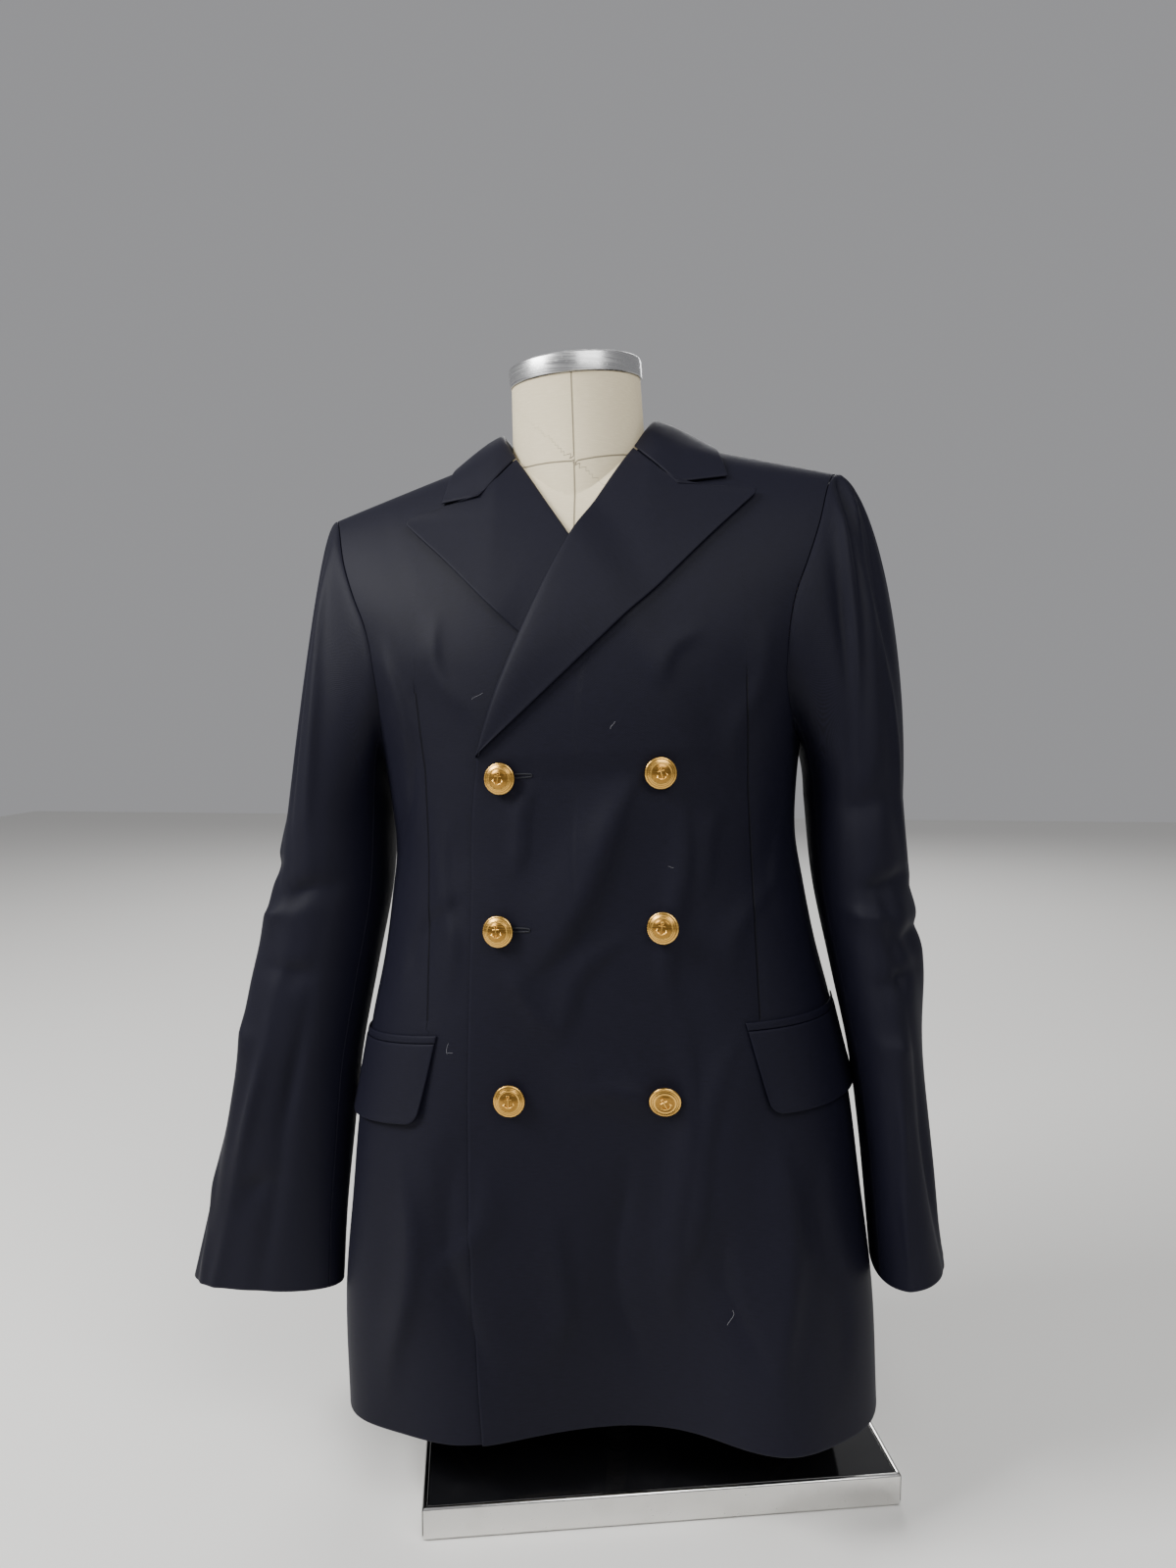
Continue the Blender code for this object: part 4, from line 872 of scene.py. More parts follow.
# %% [markdown]
# ## Side panels and backs
#
# A narrow panel under each arm joins the front to the back and lets the waist go in without a dart
# at the side. The two backs meet at a seam down the middle and leave room for the collar above.
# All six panels are made here: front, side panel and back on the left, then on the right.

# %% Side panels and backs
def make_side(side, name):
    gap = SEAM / 0.19  # as an angle, at the body's half width
    columns = FRONT_SEAM + gap + (BACK_SEAM - FRONT_SEAM - 2 * gap) * steps(0.10, 0.0045)
    front_arm = np.minimum(columns, math.pi / 2)
    back_arm = np.minimum(math.pi - columns, math.pi / 2)
    top = np.where(columns < math.pi / 2, armhole_level(front_arm, FRONT_ARM),
                   armhole_level(back_arm, BACK_ARM))
    grid = HEM_Z + steps(0.55, 0.0036)[:, None] * (top[None, :] - HEM_Z)
    angles = np.repeat(side * columns[None, :], len(grid), axis=0)
    middle, normal = on_body(angles, grid, 0, CLOTH)
    return wall(name, middle, normal, CLOTH, rolled=(1, SEWN, SEWN, SEWN))


def make_back(side, name):
    neck_level = CHEST_Z + BACK_NECK
    levels = HEM_Z + (TOP - 0.0002 - HEM_Z) * steps(0.84, 0.0036)
    levels = np.sort(np.append(levels, neck_level))
    rest = np.clip((TOP - levels) / (TOP - neck_level), 0, 1)
    neck = math.pi - front_angle(NECK_X * np.sqrt(1 - rest * rest), levels)
    start = np.where(levels > neck_level, neck, math.pi - front_angle(SEAM / 2, levels, square=5))
    end = np.maximum(BACK_SEAM, math.pi - armhole_angle(levels, BACK_ARM))
    angles = side * spread(levels, start, end, steps(0.20, 0.0038), centre=math.pi)
    grid = np.repeat(levels[:, None], angles.shape[1], axis=1)
    middle, normal = on_body(angles, grid, 0, CLOTH)
    return wall(name, middle, normal, CLOTH, rolled=(1, SEWN, SEWN, SEWN))


cloth = {}
for side, word in SIDES:
    cloth[f"front_{word}"] = make_front(side, f"front_{word}")
    cloth[f"side_{word}"] = make_side(side, f"side_{word}")
    cloth[f"back_{word}"] = make_back(side, f"back_{word}")

# %% [markdown]
# ## Lapels
#
# A lapel is the front itself turned over at the roll line. So its grid starts under the fold, at
# the front's border, goes round the fold in a half circle and lies back on the chest. It stands a
# little proud along the roll, as a pressed lapel does, and its free edge lifts.

# %% Lapels
# Outlines seen from the front, by side (+1 left, -1 right): distance out from the centre and height
LAPEL_EDGE = {
    1: ((-0.0715, 0.612), (-0.012, 0.663), (0.066, 0.730), (0.110, 0.770), (0.1450, 0.8010)),
    -1: ((-0.0715, 0.612), (-0.012, 0.663), (0.036, 0.700), (0.107, 0.771), (0.1370, 0.7995)),
}
PEAK = {1: (0.1475, 0.8050), -1: (0.1385, 0.8045)}
NOTCH = {1: (0.0840, 0.8130), -1: (0.0755, 0.8170)}
GORGE_TOP_Z = 0.850
LAPEL_ROUND = 0.75  # where the peak lies along the lapel

ROLL_PROUD = 0.0022  # how far the lapel's roll springs up from the chest
LAPEL_LIFT = {1: 0.0014, -1: 0.0032}  # how far its free edge lifts


def patch(bottom, right, top, left, v, u):
    """A surface patch between four border lines. bottom and top run across, left and right up."""
    v, u = v[:, None, None], u[None, :, None]
    ruled = (1 - u) * left[:, None] + u * right[:, None] + (1 - v) * bottom[None] + v * top[None]
    corners = ((1 - u) * (1 - v) * bottom[0] + u * (1 - v) * bottom[-1]
               + (1 - u) * v * top[0] + u * v * top[-1])
    return ruled - corners


def make_lapel(side, name):
    shares = steps(0.27, 0.0030)
    shares = np.sort(np.append(shares, LAPEL_ROUND))
    across = steps(0.09, 0.0028, first=False)
    heights = ROLL_BOTTOM + shares * (GORGE_TOP_Z - ROLL_BOTTOM)
    fold = np.stack([roll_x(heights), heights], -1)
    notch, peak = np.array(NOTCH[side]), np.array(PEAK[side])
    low = shares <= LAPEL_ROUND
    edge = np.zeros((len(shares), 2))
    edge[low] = polyline(LAPEL_EDGE[side], shares[low] / LAPEL_ROUND)
    high = (shares[~low] - LAPEL_ROUND) / (1 - LAPEL_ROUND)
    edge[~low] = peak + (notch - peak) * high[:, None]
    bottom = fold[0] + (edge[0] - fold[0]) * across[:, None]
    top = fold[-1] + (notch - fold[-1]) * across[:, None]
    seen = patch(bottom, edge, top, fold, shares, across)
    out, z = seen[..., 0], seen[..., 1]
    angle, level = place(out, z)
    under = layer_of(side, side * out, z)
    proud = ROLL_PROUD * bump(shares - 0.30, 0.26)[:, None] * np.sin(np.pi * np.sqrt(across))[None, :]
    shown = 1.0 if side > 0 else ease(out + roll_x(z), 0.002, 0.030)  # the rest lies under the left front
    proud = (proud + LAPEL_LIFT[side] * across[None, :] ** 3) * shown
    middle, normal = on_body(side * angle, level, under + LAYER + LAPEL_AIR + proud, CLOTH)
    # the half circle round the roll line, from the front's border up to the lapel
    away = middle[:, 0] - middle[:, 1]
    away /= np.linalg.norm(away, axis=-1, keepdims=True)
    radius = (LAYER + LAPEL_AIR) / 2
    centre = middle[:, 0] - normal[:, 0] * radius
    turn = np.radians(np.linspace(-90, 78, 9))
    round_normal = (normal[:, :1] * np.sin(turn)[None, :, None] + away[:, None] * np.cos(turn)[None, :, None])
    middle = np.concatenate([centre[:, None] + round_normal * radius, middle], axis=1)
    normal = np.concatenate([round_normal, normal], axis=1)
    return wall(name, middle, normal, CLOTH, roll=PRESSED_ROLL)


for side, word in SIDES:
    cloth[f"lapel_{word}"] = make_lapel(side, f"lapel_{word}")

# %% [markdown]
# ## Collar
#
# The collar is one folded piece round the neck: a stand inside and a fall outside, with a leaf at
# each end that meets the lapel. Both halves are made, joined at the centre back and evened out.

# %% Collar
# Collar seen from above, by side: the fall's edge from the leaf's tip round to the centre back
LEAF_TIP = {1: (0.1240, 0.8165), -1: (0.1090, 0.8150)}
COLLAR_EDGE = {
    1: ((0.1190, -0.034), (0.1120, 0.000), (0.0980, 0.032), (0.0620, 0.0590), (0.0, 0.0665)),
    -1: ((0.1050, -0.034), (0.1030, 0.000), (0.0940, 0.032), (0.0620, 0.0590), (0.0, 0.0665)),
}
# The collar's fold at the same places, and its seam at the neckline seen from above
COLLAR_FOLD = ((0.0590, -0.026, 0.872), (0.0645, 0.000, 0.884), (0.0590, 0.030, 0.877),
               (0.0375, 0.0570, 0.867), (0.0, 0.0665, 0.862))
COLLAR_SEAM = ((0.0595, -0.024), (0.0640, 0.000), (0.0580, 0.030), (0.0370, 0.0520), (0.0, 0.0618))
COLLAR_LIFT = LAYER + CLOTH / 2 + 0.0006  # from the body surface to the middle of the collar
GORGE_GAP = 0.0020  # from the lapel's top edge up to the collar's first row
COLLAR_BEND = (0.42, 0.42, 0.16)  # where the fall turns down, as shares of the way from fold to edge
LEAF_BLEND = 0.30  # share of a half collar over which its leaf takes the gorge's line


def collar_half(side, fall, stand, places):
    """One half of the collar's middle surface, from the gorge (first row) to the centre back."""
    notch, tip = np.array(NOTCH[side]), np.array(LEAF_TIP[side])
    top = np.array([float(roll_x(GORGE_TOP_Z)), GORGE_TOP_Z])
    share = fall[:, None]
    end = np.where(share < 0.5, top + (notch - top) * share * 2, notch + (tip - notch) * (share * 2 - 1))
    angle, level = place(end[:, 0], end[:, 1] + GORGE_GAP)
    first = torso(angle, level) + outward(angle, level) * COLLAR_LIFT
    fold = np.concatenate([first[:1], np.array(COLLAR_FOLD)])
    plan = np.array(COLLAR_EDGE[side])
    edge = np.concatenate([first[-1:], lifted(plan[:, 0], plan[:, 1], COLLAR_LIFT)])
    plan = np.array(COLLAR_SEAM)
    seam = np.concatenate([first[:1] + (0.0010, 0.0030, -0.0004),
                           lifted(plan[:, 0], plan[:, 1], LAYER + 0.0004)])
    fold, edge, seam = (polyline(line, places) for line in (fold, edge, seam))
    grid = []
    for k, place_k in enumerate(places):
        bend = fold[k] + (edge[k] - fold[k]) * COLLAR_BEND
        leaf = (1 - share) ** 2 * fold[k] + 2 * share * (1 - share) * bend + share**2 * edge[k]
        blend = min(1.0, place_k / LEAF_BLEND)
        near_end = first + (1 - share) * (fold[k] - first[0]) + share * (edge[k] - first[-1])
        leaf = blend * leaf + (1 - blend) * near_end
        floor = lifted(leaf[:, 0], leaf[:, 1], COLLAR_LIFT)
        leaf = np.where(leaf[:, 2:] < floor[:, 2:], floor, leaf)
        down = fold[k] + (seam[k] - fold[k]) * stand[1:, None]
        grid.append(np.concatenate([down[::-1], leaf]))
    return np.array(grid)


def soften(grid, turns, axis):
    """Evens a grid out along one axis. Its first and last lines stay."""
    for _ in range(turns):
        grid = grid.copy()
        if axis == 1:
            grid[:, 1:-1] += 0.5 * (0.5 * (grid[:, :-2] + grid[:, 2:]) - grid[:, 1:-1])
        else:
            grid[1:-1] += 0.5 * (0.5 * (grid[:-2] + grid[2:]) - grid[1:-1])
    return grid


def make_collar():
    fall, stand = steps(0.07, 0.0028, first=False), steps(0.02, 0.0028, first=False)
    places = steps(0.17, 0.0030, last=False)
    halves = [collar_half(side, fall, stand, places) * (side, 1, 1) for side in (1, -1)]
    grid = np.concatenate([halves[0], halves[1][-2::-1]])
    grid = soften(soften(grid, 3, 1), 4, 0)
    normal = np.cross(np.gradient(grid, axis=0), np.gradient(grid, axis=1))
    normal /= np.linalg.norm(normal, axis=-1, keepdims=True)
    half = len(grid) // 2
    if normal[half, -1] @ (grid[half, -1] - (0, 0, 0.8)) < 0:
        normal = -normal
    return wall("collar", grid, normal, CLOTH, roll=PRESSED_ROLL)


cloth["collar"] = make_collar()

# %% [markdown]
# ## Sleeves
#
# A two-piece sleeve is set into the armhole: it starts on the armhole's own line, rises over the
# head and hangs to the cuff. The top sleeve shows from the front and the outer side, and the under
# sleeve closes it next to the body. This step makes its surface, the next one cuts and creases it.

# %% The sleeve's surface
# Sleeve rings, by side: height, centre out from the middle, centre forward, half width, half depth
SLEEVE_RINGS = {
    1: np.array([
        (0.560, 0.2215, -0.010, 0.0400, 0.080), (0.493, 0.2238, -0.024, 0.0390, 0.074),
        (0.419, 0.2310, -0.040, 0.0345, 0.070), (0.350, 0.2360, -0.053, 0.0280, 0.068),
        (0.286, 0.2392, -0.065, 0.0260, 0.066), (0.225, 0.2425, -0.077, 0.0265, 0.063),
        (0.192, 0.2450, -0.084, 0.0280, 0.058),
    ]),
    -1: np.array([
        (0.560, 0.2235, -0.010, 0.0440, 0.078), (0.493, 0.2335, -0.022, 0.0500, 0.070),
        (0.419, 0.2490, -0.038, 0.0520, 0.062), (0.350, 0.2620, -0.050, 0.0520, 0.055),
        (0.286, 0.2720, -0.062, 0.0560, 0.046), (0.225, 0.2815, -0.074, 0.0600, 0.036),
        (0.169, 0.2895, -0.084, 0.0655, 0.026),
    ]),
}
SLEEVE_CAP = 0.30  # share of the sleeve's length that its head and upper arm take
SLEEVE_SQUARE = 0.92  # exponent of a sleeve's ring, a little squarer than an ellipse
SLEEVE_RISE = 0.0016  # how far the sleeve's start stands out from the armhole at the shoulder
SLEEVE_OUT = 0.0003  # the gap at the seam
SLEEVE_HEAD = {1: 0.016, -1: 0.008}  # how far the head of the sleeve puffs out past the seam
SLEEVE_SIDE = {1: 0.010, -1: -0.028}  # how far out the upper arm lies from the ring below it
CUFF_RISE = {1: 0.20, -1: 0.04}  # the cuff is higher at its outer side
SLEEVE_SEAMS = (math.radians(-104), math.radians(150))  # back and front seam, from the outer side

# Sleeve folds: side, angle from the outer side, start and end along the sleeve, half width, height
SLEEVE_FOLDS = (
    (1, 0.35, 0.44, 0.62, 0.22, 0.0050),
    (1, 0.90, 0.02, 0.30, 0.22, -0.0045),
    (1, 0.60, 0.70, 0.98, 0.26, 0.0030),
    (1, 1.25, 0.42, 0.56, 0.24, -0.0055),
    (1, -1.20, 0.46, 0.60, 0.26, -0.0050),
    (-1, 0.80, 0.40, 0.92, 0.22, 0.0045),
    (-1, 0.30, 0.42, 0.52, 0.22, -0.0040),
    (-1, 1.20, 0.06, 0.34, 0.24, 0.0040),
    (-1, -1.20, 0.46, 0.60, 0.26, -0.0050),
)


def armhole_points(turn, out):
    """The armhole seam at angles from its top, positive in front, moved out from the body."""
    level = ARMHOLE_Z + (TOP - 0.0002 - ARMHOLE_Z) * (1 + np.cos(turn)) / 2
    angle = armhole_angle(level, FRONT_ARM)
    angle = np.where(turn >= 0, angle, math.pi - angle)
    return torso(angle, level) + outward(angle, level) * out[..., None]


def sleeve_ring(side, height, turn):
    """A level ring of the hanging sleeve, between the rows of its table."""
    rings = SLEEVE_RINGS[side]
    x, y, wide, deep = (smooth_table(-height, -rings[:, 0], rings[:, k]) for k in (1, 2, 3, 4))
    out = power(np.cos(turn), SLEEVE_SQUARE) * wide
    rise = CUFF_RISE[side] * out * ease(-height, -0.30, -rings[-1, 0])
    return np.stack([x + out, y - power(np.sin(turn), SLEEVE_SQUARE) * deep, height + rise], -1)


def sleeve_surface(side, along, turn):
    """Points of the sleeve's outer face. along runs from the armhole (0) to the cuff (1)."""
    rings = SLEEVE_RINGS[side]
    along, turn = np.broadcast_arrays(along, turn)
    near_body = ((1 - np.cos(turn)) / 2) ** 3
    nothing = np.zeros_like(turn)
    start = armhole_points(turn, SLEEVE_RISE * (1 - near_body))
    start = start + np.stack([nothing + SLEEVE_OUT, nothing, nothing], -1)
    height = rings[0, 0] + (rings[-1, 0] - rings[0, 0]) * np.clip(
        (along - SLEEVE_CAP) / (1 - SLEEVE_CAP), 0, 1)
    hang = sleeve_ring(side, height, turn)
    end = sleeve_ring(side, np.full_like(turn, rings[0, 0]), turn)
    upper = (1 + np.cos(turn)) / 2
    leave = start + np.stack([0.006 + SLEEVE_HEAD[side] * upper, -0.004 * np.sin(turn), 0.002 * upper], -1)
    arrive = end + np.stack([SLEEVE_SIDE[side] * upper, nothing, 0.018 + 0.13 * upper], -1)
    u = np.clip(along / SLEEVE_CAP, 0, 1)[..., None]
    head = ((1 - u) ** 3 * start + 3 * u * (1 - u) ** 2 * leave
            + 3 * u * u * (1 - u) * arrive + u**3 * end)
    return np.where((along >= SLEEVE_CAP)[..., None], hang, head)


print("sleeve rings by side:", {side: len(rings) for side, rings in SLEEVE_RINGS.items()})

# %% [markdown]
# ## Sleeve creases and the cut
#
# Creases gather at the elbow and below the sleeve head. Each row of the table is one short crease
# with its slant and height. Then the surface is cut into top and under sleeve at the two seams.

# %% The sleeves
CREASE_RISE = 1.4  # times the heights below
FINE_CREASES = (  # side, angle from the outer side, place along, half angle, half length, slant, height
    (-1, 0.20, 0.13, 0.10, 0.10, 0.9, -0.0034), (-1, 0.75, 0.12, 0.09, 0.10, 0.6, -0.0030),
    (-1, 1.30, 0.16, 0.10, 0.11, 0.4, 0.0028), (-1, 1.60, 0.40, 0.34, 0.018, -0.10, -0.0042),
    (-1, 1.05, 0.44, 0.32, 0.018, -0.14, 0.0036), (-1, 0.55, 0.37, 0.34, 0.014, -0.10, -0.0034),
    (-1, -0.30, 0.45, 0.36, 0.018, 0.06, -0.0036), (-1, 1.50, 0.52, 0.34, 0.016, 0.14, -0.0034),
    (-1, 0.20, 0.66, 0.12, 0.18, 0.5, -0.0030), (-1, 1.20, 0.72, 0.13, 0.18, -0.5, 0.0032),
    (-1, 1.75, 0.70, 0.12, 0.18, -0.3, -0.0030), (-1, 0.80, 0.62, 0.24, 0.026, 0.16, 0.0028),
    (-1, 1.45, 0.84, 0.26, 0.024, -0.14, -0.0026), (-1, 0.50, 0.86, 0.12, 0.10, 0.4, 0.0024),
    (-1, -0.90, 0.62, 0.20, 0.12, 0.3, -0.0030), (-1, -1.30, 0.33, 0.30, 0.020, 0.06, -0.0034),
    (1, 0.45, 0.065, 0.075, 0.050, 0.5, -0.0032), (1, 0.75, 0.070, 0.070, 0.055, 0.6, 0.0026),
    (1, 1.02, 0.075, 0.070, 0.055, 0.6, -0.0032), (1, 1.30, 0.085, 0.075, 0.060, 0.5, 0.0026),
    (1, 0.15, 0.070, 0.080, 0.055, 0.4, -0.0024), (1, 1.60, 0.130, 0.090, 0.090, 0.4, -0.0028),
    (1, 0.90, 0.24, 0.12, 0.10, -0.5, 0.0028), (1, 1.50, 0.30, 0.34, 0.020, 0.14, -0.0034),
    (1, 1.20, 0.42, 0.45, 0.016, 0.14, -0.0042), (1, 1.55, 0.47, 0.38, 0.014, -0.12, 0.0036),
    (1, 0.60, 0.50, 0.45, 0.016, 0.12, -0.0042), (1, 1.20, 0.56, 0.40, 0.015, 0.14, -0.0036),
    (1, 0.10, 0.44, 0.36, 0.016, -0.10, -0.0036), (1, -0.60, 0.50, 0.36, 0.020, 0.08, -0.0038),
    (1, 1.50, 0.66, 0.30, 0.020, -0.10, 0.0030), (1, 0.90, 0.78, 0.14, 0.14, -0.5, -0.0030),
    (1, 1.60, 0.80, 0.14, 0.14, 0.4, 0.0026), (1, 0.20, 0.80, 0.14, 0.14, 0.4, -0.0026),
    (1, -1.20, 0.40, 0.30, 0.022, 0.05, -0.0036), (1, -1.30, 0.70, 0.24, 0.10, 0.3, -0.0028),
)


def sleeve_creases(side, along, turn):
    out = np.zeros(np.broadcast(along, turn).shape)
    for which, angle, start, end, half, height in SLEEVE_FOLDS:
        if which == side:
            out = out + height * bump(turn - angle, half) * bump(along - (start + end) / 2, (end - start) / 2)
    for which, angle, middle, wide, long, slant, height in FINE_CREASES:
        if which == side:
            a = turn - angle - slant * (along - middle) / max(long, 0.03) * 0.3
            b = along - middle - slant * (turn - angle) * 0.10
            wobble = 1 + 0.25 * np.sin(9 * turn + 31 * along + 5 * angle)
            b = b / np.where(b > 0, 1.5, 0.75)
            out = out + CREASE_RISE * height * wobble * np.exp(
                -np.abs(a / wide) ** 1.6 - np.abs(b / long) ** 1.6)
    return out * ease(along, 0.0, 0.035)


def make_sleeve(side, name, start, end):
    turns = start + (end - start) * steps(0.30 if "top" in name else 0.15, 0.0040)
    rows = steps(0.66, 0.0040)[:, None]
    turns = np.where(turns > math.pi, turns - 2 * math.pi, turns)[None, :]
    grid = sleeve_surface(side, rows, turns)
    across = sleeve_surface(side, rows, turns + 0.01) - sleeve_surface(side, rows, turns - 0.01)
    down = (sleeve_surface(side, np.minimum(rows + 0.003, 1), turns)
            - sleeve_surface(side, np.maximum(rows - 0.003, 0), turns))
    normal = np.cross(across, down)
    normal /= np.linalg.norm(normal, axis=-1, keepdims=True)
    middle_line = sleeve_surface(side, rows, np.linspace(-3.1, 3.1, 24)[None, :]).mean(axis=1, keepdims=True)
    normal *= np.sign(((grid - middle_line) * normal).sum())
    grid = grid + normal * (sleeve_creases(side, rows, turns)[..., None] - CLOTH / 2)
    flip = (side, 1, 1)
    return wall(name, grid * flip, normal * flip, CLOTH, rolled=(SEWN, 1, SEWN, SEWN))


SLEEVE_GAP = 0.0012
for side, word in SIDES:
    back_seam, front_seam = SLEEVE_SEAMS
    cloth[f"top_sleeve_{word}"] = make_sleeve(
        side, f"top_sleeve_{word}", back_seam + SLEEVE_GAP, front_seam - SLEEVE_GAP)
    cloth[f"under_sleeve_{word}"] = make_sleeve(
        side, f"under_sleeve_{word}", front_seam + SLEEVE_GAP, back_seam + 2 * math.pi - SLEEVE_GAP)

# %% [markdown]
# ## Pockets
#
# Each hip pocket has a jetted edge, a thin folded strip, and a flap that hangs from under it. The
# flap's two lower corners are rounded and it lifts a little towards its lower edge.

# %% Pocket flaps and jetted edges
# Pockets on the hips: where the flap starts, its length round the body and its depth
POCKET_X = {1: 0.122, -1: 0.119}
POCKET_Z = {1: 0.392, -1: 0.386}
POCKET_RISE = {1: -0.03, -1: -0.10}  # how the pocket slopes towards the side
FLAP_LONG = 0.142
FLAP_DEEP = 0.062
WELT_HIGH = 0.006
WELT_FOLDED = WELT_THICK * 1.5  # a jetted edge is a folded strip
WELT_ROLL = 0.0026
FLAP_STEP = 0.0022  # spacing of a flap's grid
FRONT_CORNER, FAR_CORNER = 0.009, 0.005


def make_pocket(side, word):
    high = POCKET_Z[side]
    start = float(front_angle(POCKET_X[side], high))
    dense = np.linspace(start, math.radians(140), 800)
    along = lengths(torso(dense, np.full(800, high))[None], 1)[0]
    runs = FLAP_LONG * steps(FLAP_LONG, FLAP_STEP)
    angles = side * np.interp(runs, along, dense)
    slope = POCKET_RISE[side] * runs
    deep = FLAP_DEEP
    for near_end, radius in ((runs, FRONT_CORNER), (FLAP_LONG - runs, FAR_CORNER)):
        corner = np.clip(1 - near_end / radius, 0, 1)
        deep = deep - radius * (1 - np.sqrt(1 - corner**2))
    down = steps(FLAP_DEEP, FLAP_STEP)[:, None]
    level = high - 0.0004 + slope[None, :] - down * deep[None, :]
    grid = np.repeat(angles[None, :], len(down), axis=0)
    where = torso(grid, level)
    under = layer_of(side, where[..., 0], where[..., 2]) + LAYER
    lift = 0.001 * down + 0.0016 * down**3 * (1 + 0.5 * np.sin(runs * 60))[None, :]
    middle, normal = on_body(grid, level, under + lift, CLOTH)
    flap = wall(f"flap_{word}", middle, normal, CLOTH, roll=PRESSED_ROLL)
    up = steps(WELT_HIGH, 0.0006, first=False, last=False)[:, None]
    level = high + slope[None, :] + up * WELT_HIGH
    grid = np.repeat(angles[None, :], len(up), axis=0)
    where = torso(grid, level)
    under = layer_of(side, where[..., 0], where[..., 2]) + LAYER - 0.0004
    middle, normal = on_body(grid, level, under, WELT_FOLDED)
    welt = wall(f"welt_{word}", middle, normal, WELT_FOLDED, roll=WELT_ROLL)
    return flap, welt


for side, word in SIDES:
    cloth[f"flap_{word}"], cloth[f"welt_{word}"] = make_pocket(side, word)

# %% [markdown]
# ## A tool for threads
#
# A thread is a thin tube along a line of points on the cloth. Close stitches show as a row of small
# swellings, so the tube's radius rises and falls along its length.

# %% The thread tool
def thread_piece(name, paths, radius, ribs, finish):
    """Round threads along lists of points on the cloth, with a little swelling for each stitch."""
    verts, faces = [], []
    sides = 8
    for points, normals, closed in paths:
        points, normals = np.array(points), np.array(normals)
        count = len(points)
        if closed:
            tangent = np.roll(points, -1, 0) - np.roll(points, 1, 0)
        else:
            tangent = np.gradient(points, axis=0)
        tangent /= np.linalg.norm(tangent, axis=-1, keepdims=True)
        side = np.cross(tangent, normals)
        side /= np.linalg.norm(side, axis=-1, keepdims=True)
        first = len(verts)
        for k in range(count):
            swell = radius * (1 + (0.30 * abs(math.sin(math.pi * k * ribs)) if ribs else 0))
            for s in range(sides):
                a = 2 * math.pi * s / sides
                spot = points[k] + (side[k] * math.cos(a) + normals[k] * math.sin(a)) * swell
                verts.append(spot)
        for k in range(count if closed else count - 1):
            for s in range(sides):
                t = (s + 1) % sides
                a, b = first + k * sides, first + ((k + 1) % count) * sides
                faces.append((a + s, a + t, b + t, b + s))
        if not closed:
            faces.append(tuple(first + s for s in range(sides))[::-1])
            faces.append(tuple(first + (count - 1) * sides + s for s in range(sides)))
    mesh = bpy.data.meshes.new(name)
    mesh.from_pydata(lean(np.array(verts)).tolist(), [], faces)
    faces_outward(mesh)
    mesh.uv_layers.new(name="cloth")
    for label in ("seam", "edge"):
        mark(mesh, label, [1.0] * len(verts))
    mesh.shade_smooth()
    piece = in_scene(name, mesh)
    mesh.materials.append(finish)
    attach(piece, "root")
    print(f"{name}: {len(faces)} faces")
    return piece


def on_front(x, z, side, out):
    """Points on a front's outer face at x and z, and the normals there."""
    angle, level = place(x, z)
    normal = outward(angle, level)
    base = torso(angle, level) + normal * (layer_of(side, x, z) + CLOTH + out)[..., None]
    return base, normal


print("threads lie", CLOTH * 1000, "mm above the cloth's inner face, on its outer face")

# %% [markdown]
# ## Buttonholes and loose threads
#
# Two worked buttonholes show beside the left column of buttons: a slit with a ring of close
# stitches round it. A few short pale threads lie on the cloth, as on any jacket that is brushed.

# %% Buttonholes and loose threads
HOLES = ((-0.0455, 0.5935), (-0.0510, 0.4760))  # middle of each worked hole
HOLE_LONG, HOLE_WIDE = 0.026, 0.0028
HOLE_POINTS, LOOSE_POINTS = 96, 14
paths = []
for x, z in HOLES:
    a = np.linspace(0, 2 * math.pi, HOLE_POINTS, endpoint=False)
    eye = 1 + 0.5 * bump(a, 0.5) + 0.5 * bump(a - 2 * math.pi, 0.5)
    px = x + HOLE_LONG / 2 * power(np.cos(a), 0.6)
    pz = z + HOLE_WIDE / 2 * power(np.sin(a), 0.6) * eye
    points, normals = on_front(px, pz, 1, np.full(HOLE_POINTS, 0.0001))
    paths.append((points, normals, True))
thread_piece("worked_buttonholes", paths, 0.00055, 0.5, thread)

LOOSE = (  # x, height, front it lies on, length, turn in degrees, bend
    (-0.1088, 0.3830, -1, 0.008, 88, 0.12), (-0.1070, 0.3795, -1, 0.004, 30, 0.20),
    (0.1024, 0.1784, 1, 0.010, 100, 0.35), (0.0300, 0.6287, 1, 0.006, 75, 0.20),
    (-0.0739, 0.6562, -1, 0.009, 55, 0.25), (0.0700, 0.5200, 1, 0.004, 20, 0.30),
)
paths = []
for x, z, side, long, turn, bend in LOOSE:
    s = np.linspace(-0.5, 0.5, LOOSE_POINTS)
    along, aside = s * long, bend * long * np.cos(s * 3.2 + 6 * bend)
    c, d = math.cos(math.radians(turn)), math.sin(math.radians(turn))
    points, normals = on_front(x + along * c - aside * d, z + along * d + aside * c, side,
                               np.full(LOOSE_POINTS, 0.0002))
    paths.append((points, normals, False))
thread_piece("loose_threads", paths, 0.00010, 0, pale_thread)

# %% [markdown]
# ## Turned metal
#
# The buttons, the neck cap, the pole and its socket are turned pieces. Each starts as a flat disc.
# Its top face is extruded and resized step by step along a profile of radius and height, as metal
# is spun over a former.

# %% Tools for turned pieces
def nothing_selected():
    if bpy.context.object and bpy.context.object.mode != "OBJECT":
        bpy.ops.object.mode_set(mode="OBJECT")
    bpy.ops.object.select_all(action="DESELECT")


